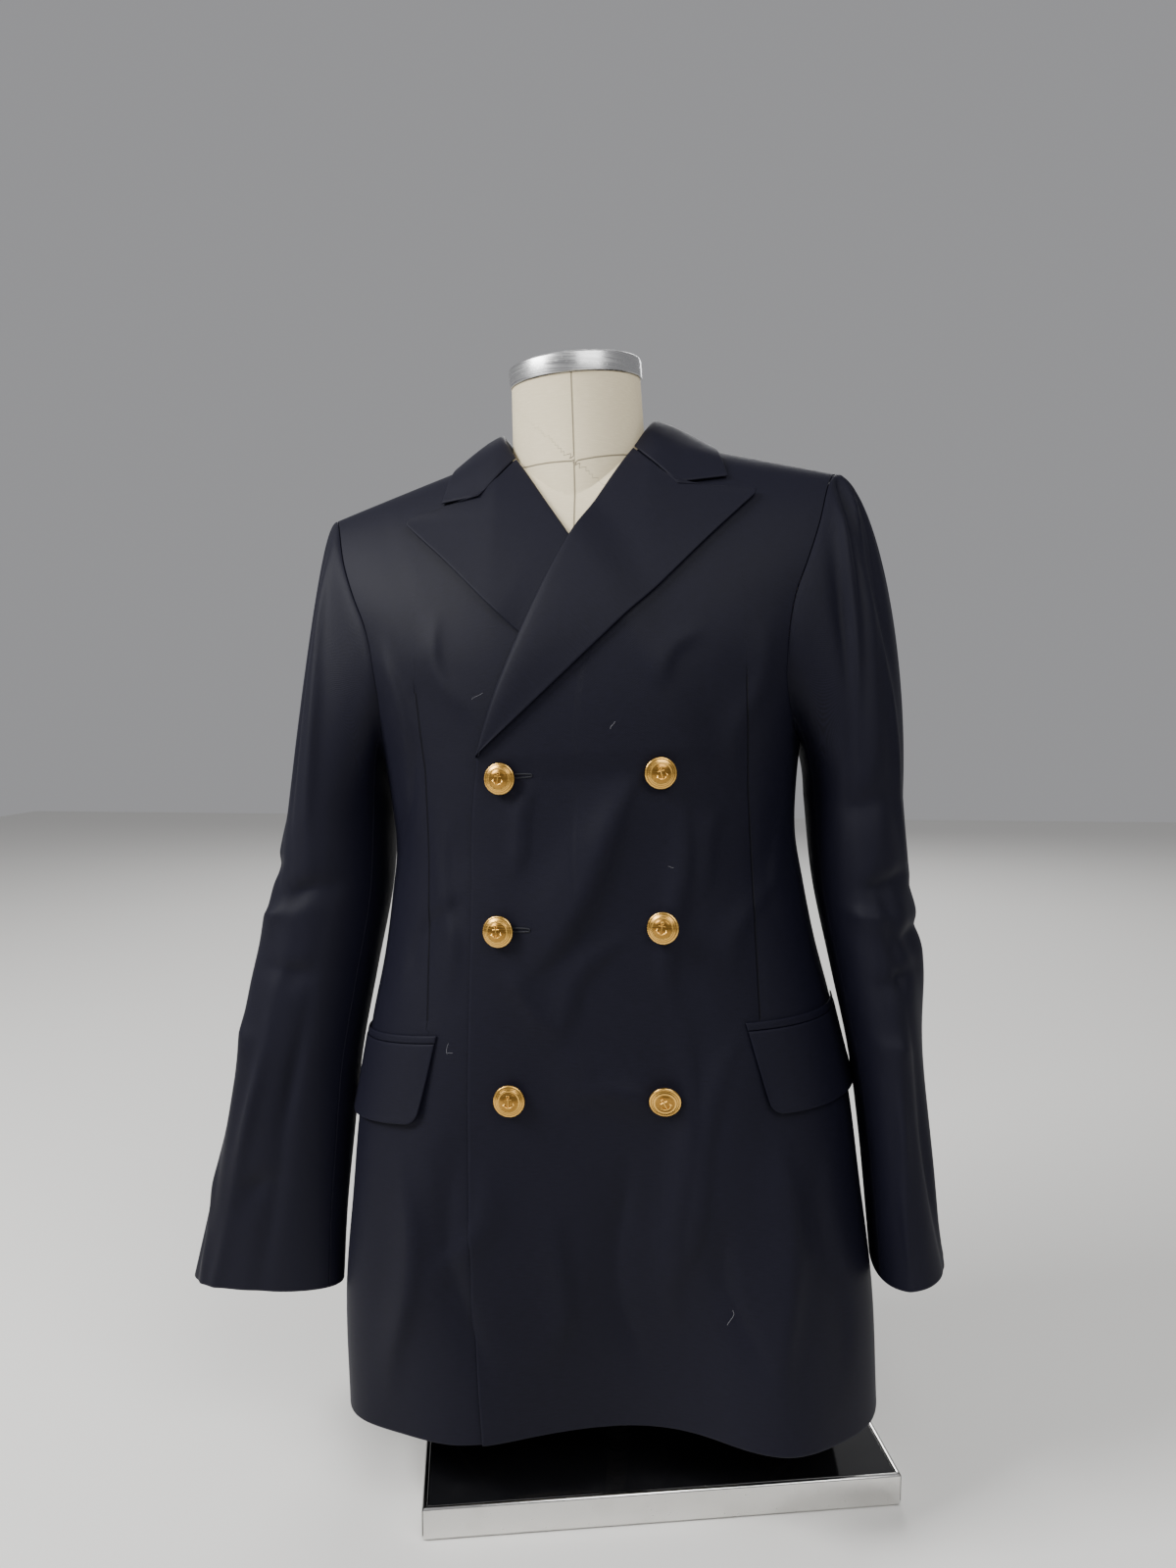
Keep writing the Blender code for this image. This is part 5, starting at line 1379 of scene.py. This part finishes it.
def turned(name, profile, sides):
    """A solid of turning from a profile of (radius, height), from the bottom up."""
    nothing_selected()
    radius, height = profile[0]
    bpy.ops.mesh.primitive_circle_add(vertices=sides, radius=radius, fill_type="NGON",
                                      location=(0, 0, height))
    bpy.ops.object.transform_apply(location=True, rotation=True, scale=True)
    obj = bpy.context.object
    bpy.ops.object.mode_set(mode="EDIT")
    bpy.ops.mesh.select_all(action="SELECT")
    for (r0, z0), (r1, z1) in zip(profile, profile[1:]):
        bpy.ops.mesh.extrude_region_move(TRANSFORM_OT_translate={"value": (0, 0, z1 - z0)})
        bpy.ops.transform.resize(value=(r1 / r0, r1 / r0, 1), center_override=(0, 0, z1))
    bpy.ops.mesh.select_all(action="SELECT")
    bpy.ops.mesh.normals_make_consistent(inside=False)
    bpy.ops.object.mode_set(mode="OBJECT")
    obj.name = obj.data.name = name
    return obj


print("turning tool ready")

# %% [markdown]
# ## Finishing tools
#
# Joining, smoothing and modifiers take the same few calls each time. finish_piece() gives a piece
# its material, hides the solid it takes the place of, and prints its size in faces.

# %% Finishing tools
def pick(*parts):
    """Selects these pieces only, and makes the first one active."""
    nothing_selected()
    for part in parts:
        part.select_set(True)
    bpy.context.view_layer.objects.active = parts[0]


def smooth(obj, angle=35):
    pick(obj)
    bpy.ops.object.shade_smooth_by_angle(angle=math.radians(angle))


def joined(*parts):
    pick(*parts)
    bpy.ops.object.join()
    return parts[0]


def modified(obj, kind, **settings):
    """Gives a piece one modifier and applies it."""
    made = obj.modifiers.new(kind.lower(), kind)
    for key, value in settings.items():
        setattr(made, key, value)
    pick(obj)
    bpy.ops.object.modifier_apply(modifier=made.name)


def finish_piece(obj, finish, slot, *nodes):
    obj.data.materials.clear()
    obj.data.materials.append(finish)
    for part in obj.data.polygons:
        part.material_index = 0
    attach(obj, "root")
    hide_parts(*nodes)
    print(f"{obj.name}: {len(obj.data.polygons)} faces")
    return obj


def finish_metal(obj, finish, slot, node, where):
    obj.data.transform(where)
    mark(obj.data, "recess", [0.0] * len(obj.data.vertices))
    smooth(obj)
    return finish_piece(obj, finish, slot, node)


print("finishing tools ready")

# %% [markdown]
# ## One button
#
# A blazer button is a stamped shell: a rim, a raised bead and a domed field. One pattern is made at
# the origin from this profile. The grooves between its rings are marked by their radius, so that
# the gilt is darker in them.

# %% A button's profile
R = 0.0122  # a button's radius, for the large size of 24 mm
DOME = [  # a button's profile: shank, underside, rim, bead, ring groove and the domed field
    (0.20, -0.24), (0.22, -0.06), (0.80, -0.02), (0.97, 0.07), (1.00, 0.12), (1.00, 0.19), (0.97, 0.235),
    (0.92, 0.255), (0.87, 0.250), (0.85, 0.262), (0.80, 0.290), (0.755, 0.300), (0.735, 0.318), (0.70, 0.338),
    (0.655, 0.345), (0.63, 0.330), (0.60, 0.335), (0.52, 0.380), (0.42, 0.415), (0.30, 0.442), (0.16, 0.458),
    (0.04, 0.462),
]


def field_height(radius):
    """The height of a button's domed field, as a share of the button's radius."""
    rows = np.array(DOME[-6:])[::-1]
    return float(np.interp(radius, rows[:, 0], rows[:, 1]))


print("a button stands", round((DOME[-1][1] - DOME[0][1]) * R * 1000, 1), "mm high with its shank")

# %% [markdown]
# ## A plain anchor
#
# The relief on the field is a generic anchor: bars for shank and stock, a ring, part of a torus
# for the arms and two cones for the flukes.

# %% One button with its anchor
def rod(length, radius, middle, turn):
    bpy.ops.mesh.primitive_cylinder_add(vertices=12, radius=radius, depth=length, location=(0, 0, 0))
    part = bpy.context.object
    part.data.transform(Matrix.Translation(middle) @ Matrix.Rotation(turn, 4, "Z")
                        @ Matrix.Rotation(math.pi / 2, 4, "Y"))
    return part


def make_anchor():
    """A plain anchor in low relief: shank, stock, ring, curved arms and two flukes."""
    nothing_selected()
    top = field_height(0.0) * R + 0.02 * R
    low = field_height(0.34) * R
    parts = [
        rod(0.62 * R, 0.050 * R, (0, -0.03 * R, (top + low) / 2 + 0.022 * R), math.pi / 2),
        rod(0.44 * R, 0.042 * R, (0, 0.17 * R, top - 0.006 * R), 0),
    ]
    bpy.ops.mesh.primitive_torus_add(major_radius=0.085 * R, minor_radius=0.030 * R, major_segments=24,
                                     minor_segments=8, location=(0, 0.34 * R, low + 0.030 * R))
    parts.append(bpy.context.object)
    bpy.ops.mesh.primitive_torus_add(major_radius=0.30 * R, minor_radius=0.050 * R, major_segments=48,
                                     minor_segments=8, location=(0, -0.06 * R, low + 0.035 * R))
    arms = bpy.context.object
    bpy.ops.object.transform_apply(location=True, rotation=True, scale=True)
    bpy.ops.object.mode_set(mode="EDIT")
    bpy.ops.mesh.select_all(action="SELECT")
    bpy.ops.mesh.bisect(plane_co=(0, -0.13 * R, 0), plane_no=(0, 1, 0), clear_outer=True, use_fill=True)
    bpy.ops.object.mode_set(mode="OBJECT")
    parts.append(arms)
    for side in (-1, 1):
        bpy.ops.mesh.primitive_cone_add(vertices=12, radius1=0.085 * R, radius2=0.008 * R, depth=0.16 * R,
                                        location=(0, 0, 0))
        fluke = bpy.context.object
        fluke.data.transform(Matrix.Translation((side * 0.285 * R, -0.10 * R, low + 0.030 * R))
                             @ Matrix.Rotation(side * 0.25, 4, "Z") @ Matrix.Rotation(-math.pi / 2, 4, "X"))
        parts.append(fluke)
    anchor = joined(*parts)
    bpy.ops.object.transform_apply(location=True, rotation=True, scale=True)
    return anchor


def make_button_pattern():
    """The turned shell with its marked grooves, joined with the anchor."""
    body = turned("button_pattern", [(r * R, z * R) for r, z in DOME], 72)
    radii = [math.hypot(v.co.x, v.co.y) / R for v in body.data.vertices]
    tops = [v.co.z > 0.2 * R for v in body.data.vertices]
    recess = [0.75 if up and (r < 0.61 or 0.72 < r < 0.78 or 0.84 < r < 0.88) else 0.0
              for r, up in zip(radii, tops)]
    mark(body.data, "recess", recess)
    anchor = make_anchor()
    mark(anchor.data, "recess", [0.0] * len(anchor.data.vertices))
    joined(body, anchor)
    smooth(body, 50)
    return body


pattern = make_button_pattern()
print("one button has", len(pattern.data.polygons), "faces")

# %% [markdown]
# ## Six buttons in place
#
# Each button stands on the left front along the cloth's own normal. A little tilt and turn on its
# shank keeps the six from looking stamped by a machine, and the lowest right one droops.

# %% Six buttons
# Buttons: x, height, tilt in degrees (face turned down)
BUTTONS = (
    (-0.056, 0.592, 0), (0.063, 0.592, 4),
    (-0.062, 0.475, 0), (0.064, 0.475, 4),
    (-0.060, 0.346, 0), (0.059, 0.346, 16),
)
SPIN = (-6, 14, 4, -9, 3, 24)  # how far each button has turned on its shank, in degrees
stand_up = Matrix.Translation((POLE_X, 0, 0)) @ Matrix.Rotation(-LEAN, 4, "Y")
for number, ((x, z, tilt), spin) in enumerate(zip(BUTTONS, SPIN), 1):
    angle, level = place(np.float64(x), np.float64(z))
    normal = outward(angle, level)
    on_cloth = torso(angle, level) + normal * (layer_left(x, z) + CLOTH)
    axis = (Vector(normal) - Vector((0, 0, math.tan(math.radians(tilt))))).normalized()
    clearance = 0.0004 + math.sin(math.radians(tilt)) * R * 0.30
    centre = Vector(on_cloth) + Vector(normal) * clearance + axis * 0.24 * R
    up = (Vector((0, 0, 1)) - axis * axis.z).normalized()
    turn = Matrix((up.cross(axis), up, axis)).transposed().to_4x4()
    where = stand_up @ Matrix.Translation(settle(centre)) @ turn @ Matrix.Rotation(math.radians(spin), 4, "Z")
    button = in_scene(f"button_{number}_gilt", pattern.data.copy())
    button.data.transform(where)
    finish_piece(button, gilt, "brushed_gilt", f"button_{number}")
bpy.data.objects.remove(pattern, do_unlink=True)

# %% [markdown]
# ## Rings of the dress form
#
# The form lies just inside the jacket, so its rings come from the same sections, drawn in a little:
# most at the hips, where the skirt hangs free, and least at the shoulders, which carry the weight.

# %% Rings of the form
FORM_BOTTOM_Z = 0.330
FORM_CLEAR = 0.0008  # under the shoulders, where the jacket rests on it
# Height and how far the form stays inside the jacket
FORM_INSET = np.array([(0.330, 0.024), (0.440, 0.016), (0.530, 0.012), (0.620, 0.009), (0.740, 0.004),
                       (0.820, 0.0010), (0.866, 0.0008)])
FORM_SHOULDER_X = 0.190
NECK_R = 0.0575
NECK_TOP_R = 0.0552
NECK_TOP_Z = 0.9190
NECK_TILT = math.radians(4)
NECK_FORWARD = -0.004
NECK_ROOT_Z = 0.800
NECK_FLARE = 0.016
FORM_SQUARE = 0.84
CAP_R = 0.0568
CAP_HIGH = 0.0165


def closed_loft(name, rings):
    """A closed solid through rings of points."""
    rings = np.array(rings)
    count = rings.shape[1]
    low, high = rings[0].mean(axis=0), rings[-1].mean(axis=0)
    verts = [*rings.reshape(-1, 3).tolist(), low.tolist(), high.tolist()]
    faces, total = [], len(rings)
    for k in range(total - 1):
        for i in range(count):
            j = (i + 1) % count
            faces.append((k * count + i, k * count + j, (k + 1) * count + j, (k + 1) * count + i))
    for i in range(count):
        j = (i + 1) % count
        faces.append((j, i, total * count))
        faces.append(((total - 1) * count + i, (total - 1) * count + j, total * count + 1))
    mesh = bpy.data.meshes.new(name)
    mesh.from_pydata(verts, [], faces)
    faces_outward(mesh, merge=2e-5)
    return in_scene(name, mesh)


def form_ring(level, angles):
    turn = max(0.0, (level - CHEST_Z) / RISE) * math.pi / 2
    lift = math.sin(turn) ** (2 / ROUNDING)
    close = max(0.0, math.cos(turn)) ** (2 / ROUNDING)
    height = level if level < CHEST_Z else CHEST_Z + (NECK_Z - CHEST_Z) * lift
    inset = float(smooth_table(height, FORM_INSET[:, 0], FORM_INSET[:, 1]))
    wide = min(float(section(height, 1)), FORM_SHOULDER_X) - inset
    deep = np.where(np.cos(angles) > 0, section(height, 2), section(height, 3)) - inset
    x = wide * power(np.sin(angles), FORM_SQUARE)
    y = -deep * power(np.cos(angles), FORM_SQUARE) * close
    if level < CHEST_Z:
        z = np.full_like(x, level)
    else:
        z = CHEST_Z + (shoulder_line(x) - FORM_CLEAR - CHEST_Z) * lift
    return np.stack([x, y, z], -1)


def neck_ring(share, angles):
    height = NECK_ROOT_Z + (NECK_TOP_Z - NECK_ROOT_Z) * share
    radius = NECK_R + (NECK_TOP_R - NECK_R) * max(0.0, (share - 0.4) / 0.6)
    front = np.cos(angles)
    flare = NECK_FLARE * (1 - share) ** 2 * np.maximum(0, front)
    y = NECK_FORWARD * share - (radius + flare) * front
    return np.stack([radius * np.sin(angles), y, height - math.tan(NECK_TILT) * radius * front * share], -1)


print("the form stays", FORM_CLEAR * 1000, "mm under the shoulders")

# %% [markdown]
# ## The covered form
#
# The neck is a loft of its own, joined to the body by a boolean union. The cover has two seams that
# show: one down the middle of the front and one round the root of the neck.

# %% The covered form
NECK_SEAM = ((-0.060, 0.848), (-0.038, 0.8440), (0.003, 0.8425), (0.045, 0.8500), (0.060, 0.8560))


def make_form():
    angles = np.linspace(0, 2 * math.pi, 144, endpoint=False)
    low = np.concatenate([[FORM_BOTTOM_Z, FORM_BOTTOM_Z + 0.003, FORM_BOTTOM_Z + 0.008],
                          np.linspace(FORM_BOTTOM_Z + 0.02, TOP - 0.0004, 76)])
    rings = [lean(form_ring(level, angles)) for level in low]
    for k, pull in ((0, 0.95), (1, 0.985)):
        middle = rings[k].mean(axis=0)
        rings[k] = middle + (rings[k] - middle) * (pull, pull, 1)
    body = closed_loft("form_cover", rings)
    neck = closed_loft("neck_blank", [lean(neck_ring(s, angles)) for s in np.linspace(0, 1, 40)])
    modified(body, "BOOLEAN", operation="UNION", object=neck)
    bpy.data.objects.remove(neck, do_unlink=True)
    mesh = body.data
    co = np.zeros(len(mesh.vertices) * 3)
    mesh.vertices.foreach_get("co", co)
    co = co.reshape(-1, 3)
    upright = co - (POLE_X, 0, 0)
    x = upright[:, 0] * math.cos(LEAN) + upright[:, 2] * math.sin(LEAN)
    z = -upright[:, 0] * math.sin(LEAN) + upright[:, 2] * math.cos(LEAN)
    line = np.array(NECK_SEAM)
    round_neck = z - np.interp(x, line[:, 0], line[:, 1])
    middle = np.where(co[:, 1] < 0, x - 0.002, 1.0)
    nearest = np.where(np.abs(middle) < np.abs(round_neck), middle, round_neck)
    # the distance to the seams sinks a groove in the linen and gives it painted shade
    mark(mesh, "seam", nearest)
    mark(mesh, "edge", [1.0] * len(co))
    around = np.arctan2(co[:, 0] - POLE_X, -co[:, 1]) * 0.075
    flat = np.stack([around, co[:, 2]], -1)
    corners = np.zeros(len(mesh.loops), int)
    mesh.loops.foreach_get("vertex_index", corners)
    layer = mesh.uv_layers.get("cloth") or mesh.uv_layers.new(name="cloth")
    layer.data.foreach_set("uv", flat[corners].ravel())
    smooth(body, 30)
    return finish_piece(body, linen, "cream_linen", "form_body")


make_form()

# %% [markdown]
# ## Neck cap and pole
#
# The cap is a short brushed band with an eased edge. The pole and its socket are turned in the same
# way. Cap and pole lean with the form, and the socket stands upright on the base.

# %% Cap, pole and socket
# Stand
BASE_W, BASE_D, BASE_H = 0.384, 0.280, 0.026
BASE_TURN = math.radians(11.7)
TRIM_WALL = 0.005
PLATE_DROP = 0.0008  # how far the plate lies below the rim's top
RIM_ROUND, PLATE_ROUND = 0.0024, 0.0006
MITRE_SLOT = 0.0011  # width of the open slot at each front corner
POLE_R = 0.0125
SOCKET_R, SOCKET_H = 0.022, 0.034
FLANGE_R, FLANGE_H = 0.045, 0.005

cap = turned("neck_cap_steel", [
    (CAP_R - 0.0004, SEAM), (CAP_R, SEAM + 0.0004), (CAP_R, CAP_HIGH - 0.0018),
    (CAP_R - 0.0003, CAP_HIGH - 0.0009), (CAP_R - 0.0009, CAP_HIGH - 0.0003),
    (CAP_R - 0.0018, CAP_HIGH), (CAP_R * 0.85, CAP_HIGH + 0.0006),
    (CAP_R * 0.6, CAP_HIGH + 0.0011), (CAP_R * 0.3, CAP_HIGH + 0.0014), (CAP_R * 0.03, CAP_HIGH + 0.0015),
], 128)
cap_turn = Matrix.Rotation(-math.atan(SHOULDER_TILT), 4, "Y") @ Matrix.Rotation(NECK_TILT, 4, "X")
finish_metal(cap, steel, "polished_steel", "neck_cap",
             stand_up @ Matrix.Translation((0, NECK_FORWARD, NECK_TOP_Z)) @ cap_turn)

foot = (BASE_H - PLATE_DROP + SOCKET_H + SEAM) / math.cos(LEAN) + POLE_R * math.tan(LEAN)
pole = turned("pole_steel", [
    (POLE_R - 0.0006, foot), (POLE_R, foot + 0.0006), (POLE_R, FORM_BOTTOM_Z - SEAM),
], 64)
finish_metal(pole, steel, "polished_steel", "pole", stand_up)

socket = turned("pole_socket_steel", [
    (FLANGE_R, SEAM), (FLANGE_R, FLANGE_H - 0.001), (FLANGE_R - 0.0003, FLANGE_H - 0.0003),
    (FLANGE_R - 0.001, FLANGE_H), (SOCKET_R + 0.004, FLANGE_H), (SOCKET_R + 0.0012, FLANGE_H + 0.0012),
    (SOCKET_R, FLANGE_H + 0.004), (SOCKET_R, SOCKET_H - 0.002), (SOCKET_R - 0.0006, SOCKET_H - 0.0006),
    (SOCKET_R - 0.002, SOCKET_H),
], 80)
finish_metal(socket, steel, "polished_steel", "pole_socket",
             Matrix.Translation((POLE_X, 0, BASE_H - PLATE_DROP)))


print("the pole starts", round(foot, 4), "m up its own axis")

# %% [markdown]
# ## The base
#
# A gloss black plate lies in a polished steel rim: a box whose top and bottom are inset and bridged
# into an open frame, then bevelled. Its front corners show the open slots of their mitres.

# %% The base
def box(name, wide, deep, low, high):
    """A box round the axis, from one height to another."""
    nothing_selected()
    bpy.ops.mesh.primitive_cube_add(size=1, location=(0, 0, (low + high) / 2))
    obj = bpy.context.object
    obj.scale = (wide, deep, high - low)
    bpy.ops.object.transform_apply(location=True, rotation=True, scale=True)
    obj.name = obj.data.name = name
    return obj


rim = box("base_rim_steel", BASE_W, BASE_D, 0, BASE_H)
bpy.ops.object.mode_set(mode="EDIT")
edit = bmesh.from_edit_mesh(rim.data)
for face in edit.faces:
    face.select = abs(face.normal.z) > 0.9
bmesh.update_edit_mesh(rim.data)
bpy.ops.mesh.inset(thickness=TRIM_WALL, depth=0)
bpy.ops.mesh.bridge_edge_loops()
bpy.ops.object.mode_set(mode="OBJECT")
modified(rim, "BEVEL", width=RIM_ROUND, segments=4, limit_method="ANGLE")
for side in (-1, 1):
    slot_cut = box("slot_cut", MITRE_SLOT, 0.016, 0.004, BASE_H + 0.01)
    slot_cut.data.transform(Matrix.Translation((side * (BASE_W / 2 - 0.002), -BASE_D / 2 + 0.002, 0))
                            @ Matrix.Rotation(side * math.pi / 4, 4, "Z"))
    modified(rim, "BOOLEAN", operation="DIFFERENCE", object=slot_cut)
    bpy.data.objects.remove(slot_cut, do_unlink=True)
base_turned = Matrix.Rotation(BASE_TURN, 4, "Z")
finish_metal(rim, polished, "polished_steel", "base_trim", base_turned)

inner_gap = 2 * (TRIM_WALL + SEAM)
plate = box("base_top_black", BASE_W - inner_gap, BASE_D - inner_gap, 0, BASE_H - PLATE_DROP)
modified(plate, "BEVEL", width=PLATE_ROUND, segments=2, limit_method="ANGLE")
finish_metal(plate, gloss, "gloss_black", "base_plate", base_turned)

# %% [markdown]
# ## The cut of each cloth piece
#
# A sheet's flat size is the cloth that was cut for what shows of it, seams and turnings left out.

# %% Cut sizes
CUTS = {  # width and length of the cut, and its flat area
    "front_left": (0.32, 0.82, 0.238), "front_right": (0.32, 0.82, 0.236),
    "side_left": (0.12, 0.56, 0.058), "side_right": (0.12, 0.56, 0.058),
    "back_left": (0.23, 0.83, 0.150), "back_right": (0.23, 0.83, 0.150),
    "lapel_left": (0.15, 0.28, 0.020), "lapel_right": (0.15, 0.28, 0.020),
    "collar": (0.42, 0.10, 0.028),
    "top_sleeve_left": (0.27, 0.68, 0.145), "top_sleeve_right": (0.28, 0.68, 0.153),
    "under_sleeve_left": (0.13, 0.58, 0.053), "under_sleeve_right": (0.13, 0.58, 0.052),
    "flap_left": (0.145, 0.065, 0.0093), "flap_right": (0.145, 0.065, 0.0093),
    "welt_left": (0.142, 0.014, 0.0011), "welt_right": (0.142, 0.014, 0.0011),
}
for name, piece in cloth.items():
    wide, long, area = CUTS[name]
print("declared", len(cloth), "cloth pieces")

# %% [markdown]
# ## Floor, light and camera
#
# A plain pale floor and soft light from the left, as by a window, with a weaker light from the
# right. The camera stands where the photographer stood.

# %% Stage
nothing_selected()
bpy.ops.mesh.primitive_plane_add(size=8, location=(0, 1.5, -0.0005))
floor = bpy.context.object
floor.name = "pale_floor"
paper, _, paper_shader = begin("pale floor", Roughness=0.85)
paper_shader.inputs["Base Color"].default_value = (0.78, 0.77, 0.74, 1)
floor.data.materials.append(paper)

world = bpy.data.worlds.new("soft room")
world.use_nodes = True
world.node_tree.nodes["Background"].inputs[0].default_value = (0.90, 0.90, 0.93, 1)
world.node_tree.nodes["Background"].inputs[1].default_value = 0.36
bpy.context.scene.world = world

LIGHTS = (  # name, place, size, power
    ("window_light", (-1.9, -1.0, 2.15), 1.1, 98.0),
    ("front_fill", (0.9, -1.6, 2.3), 1.6, 44.0),
    ("back_wall_light", (0.0, 3.2, 2.6), 1.6, 60.0),
)
for name, spot, size, power_w in LIGHTS:
    lamp = bpy.data.lights.new(name, "AREA")
    lamp.size = size
    lamp.energy = power_w
    holder = in_scene(name, lamp)
    holder.location = spot
    holder.rotation_euler = (Vector((0, 0, 0.5)) - Vector(spot)).to_track_quat("-Z", "Y").to_euler()

lens = bpy.data.cameras.new("photo_camera")
lens.sensor_fit = "VERTICAL"
lens.sensor_height = 36
lens.lens = 25.875
camera = in_scene("photo_camera", lens)
camera.location = (0.052, -0.987, 0.645)
camera.rotation_euler = (math.radians(86.0), 0, math.radians(5.8))
bpy.context.scene.camera = camera
print("lights:", [row[0] for row in LIGHTS], "and a lens of", lens.lens, "mm")
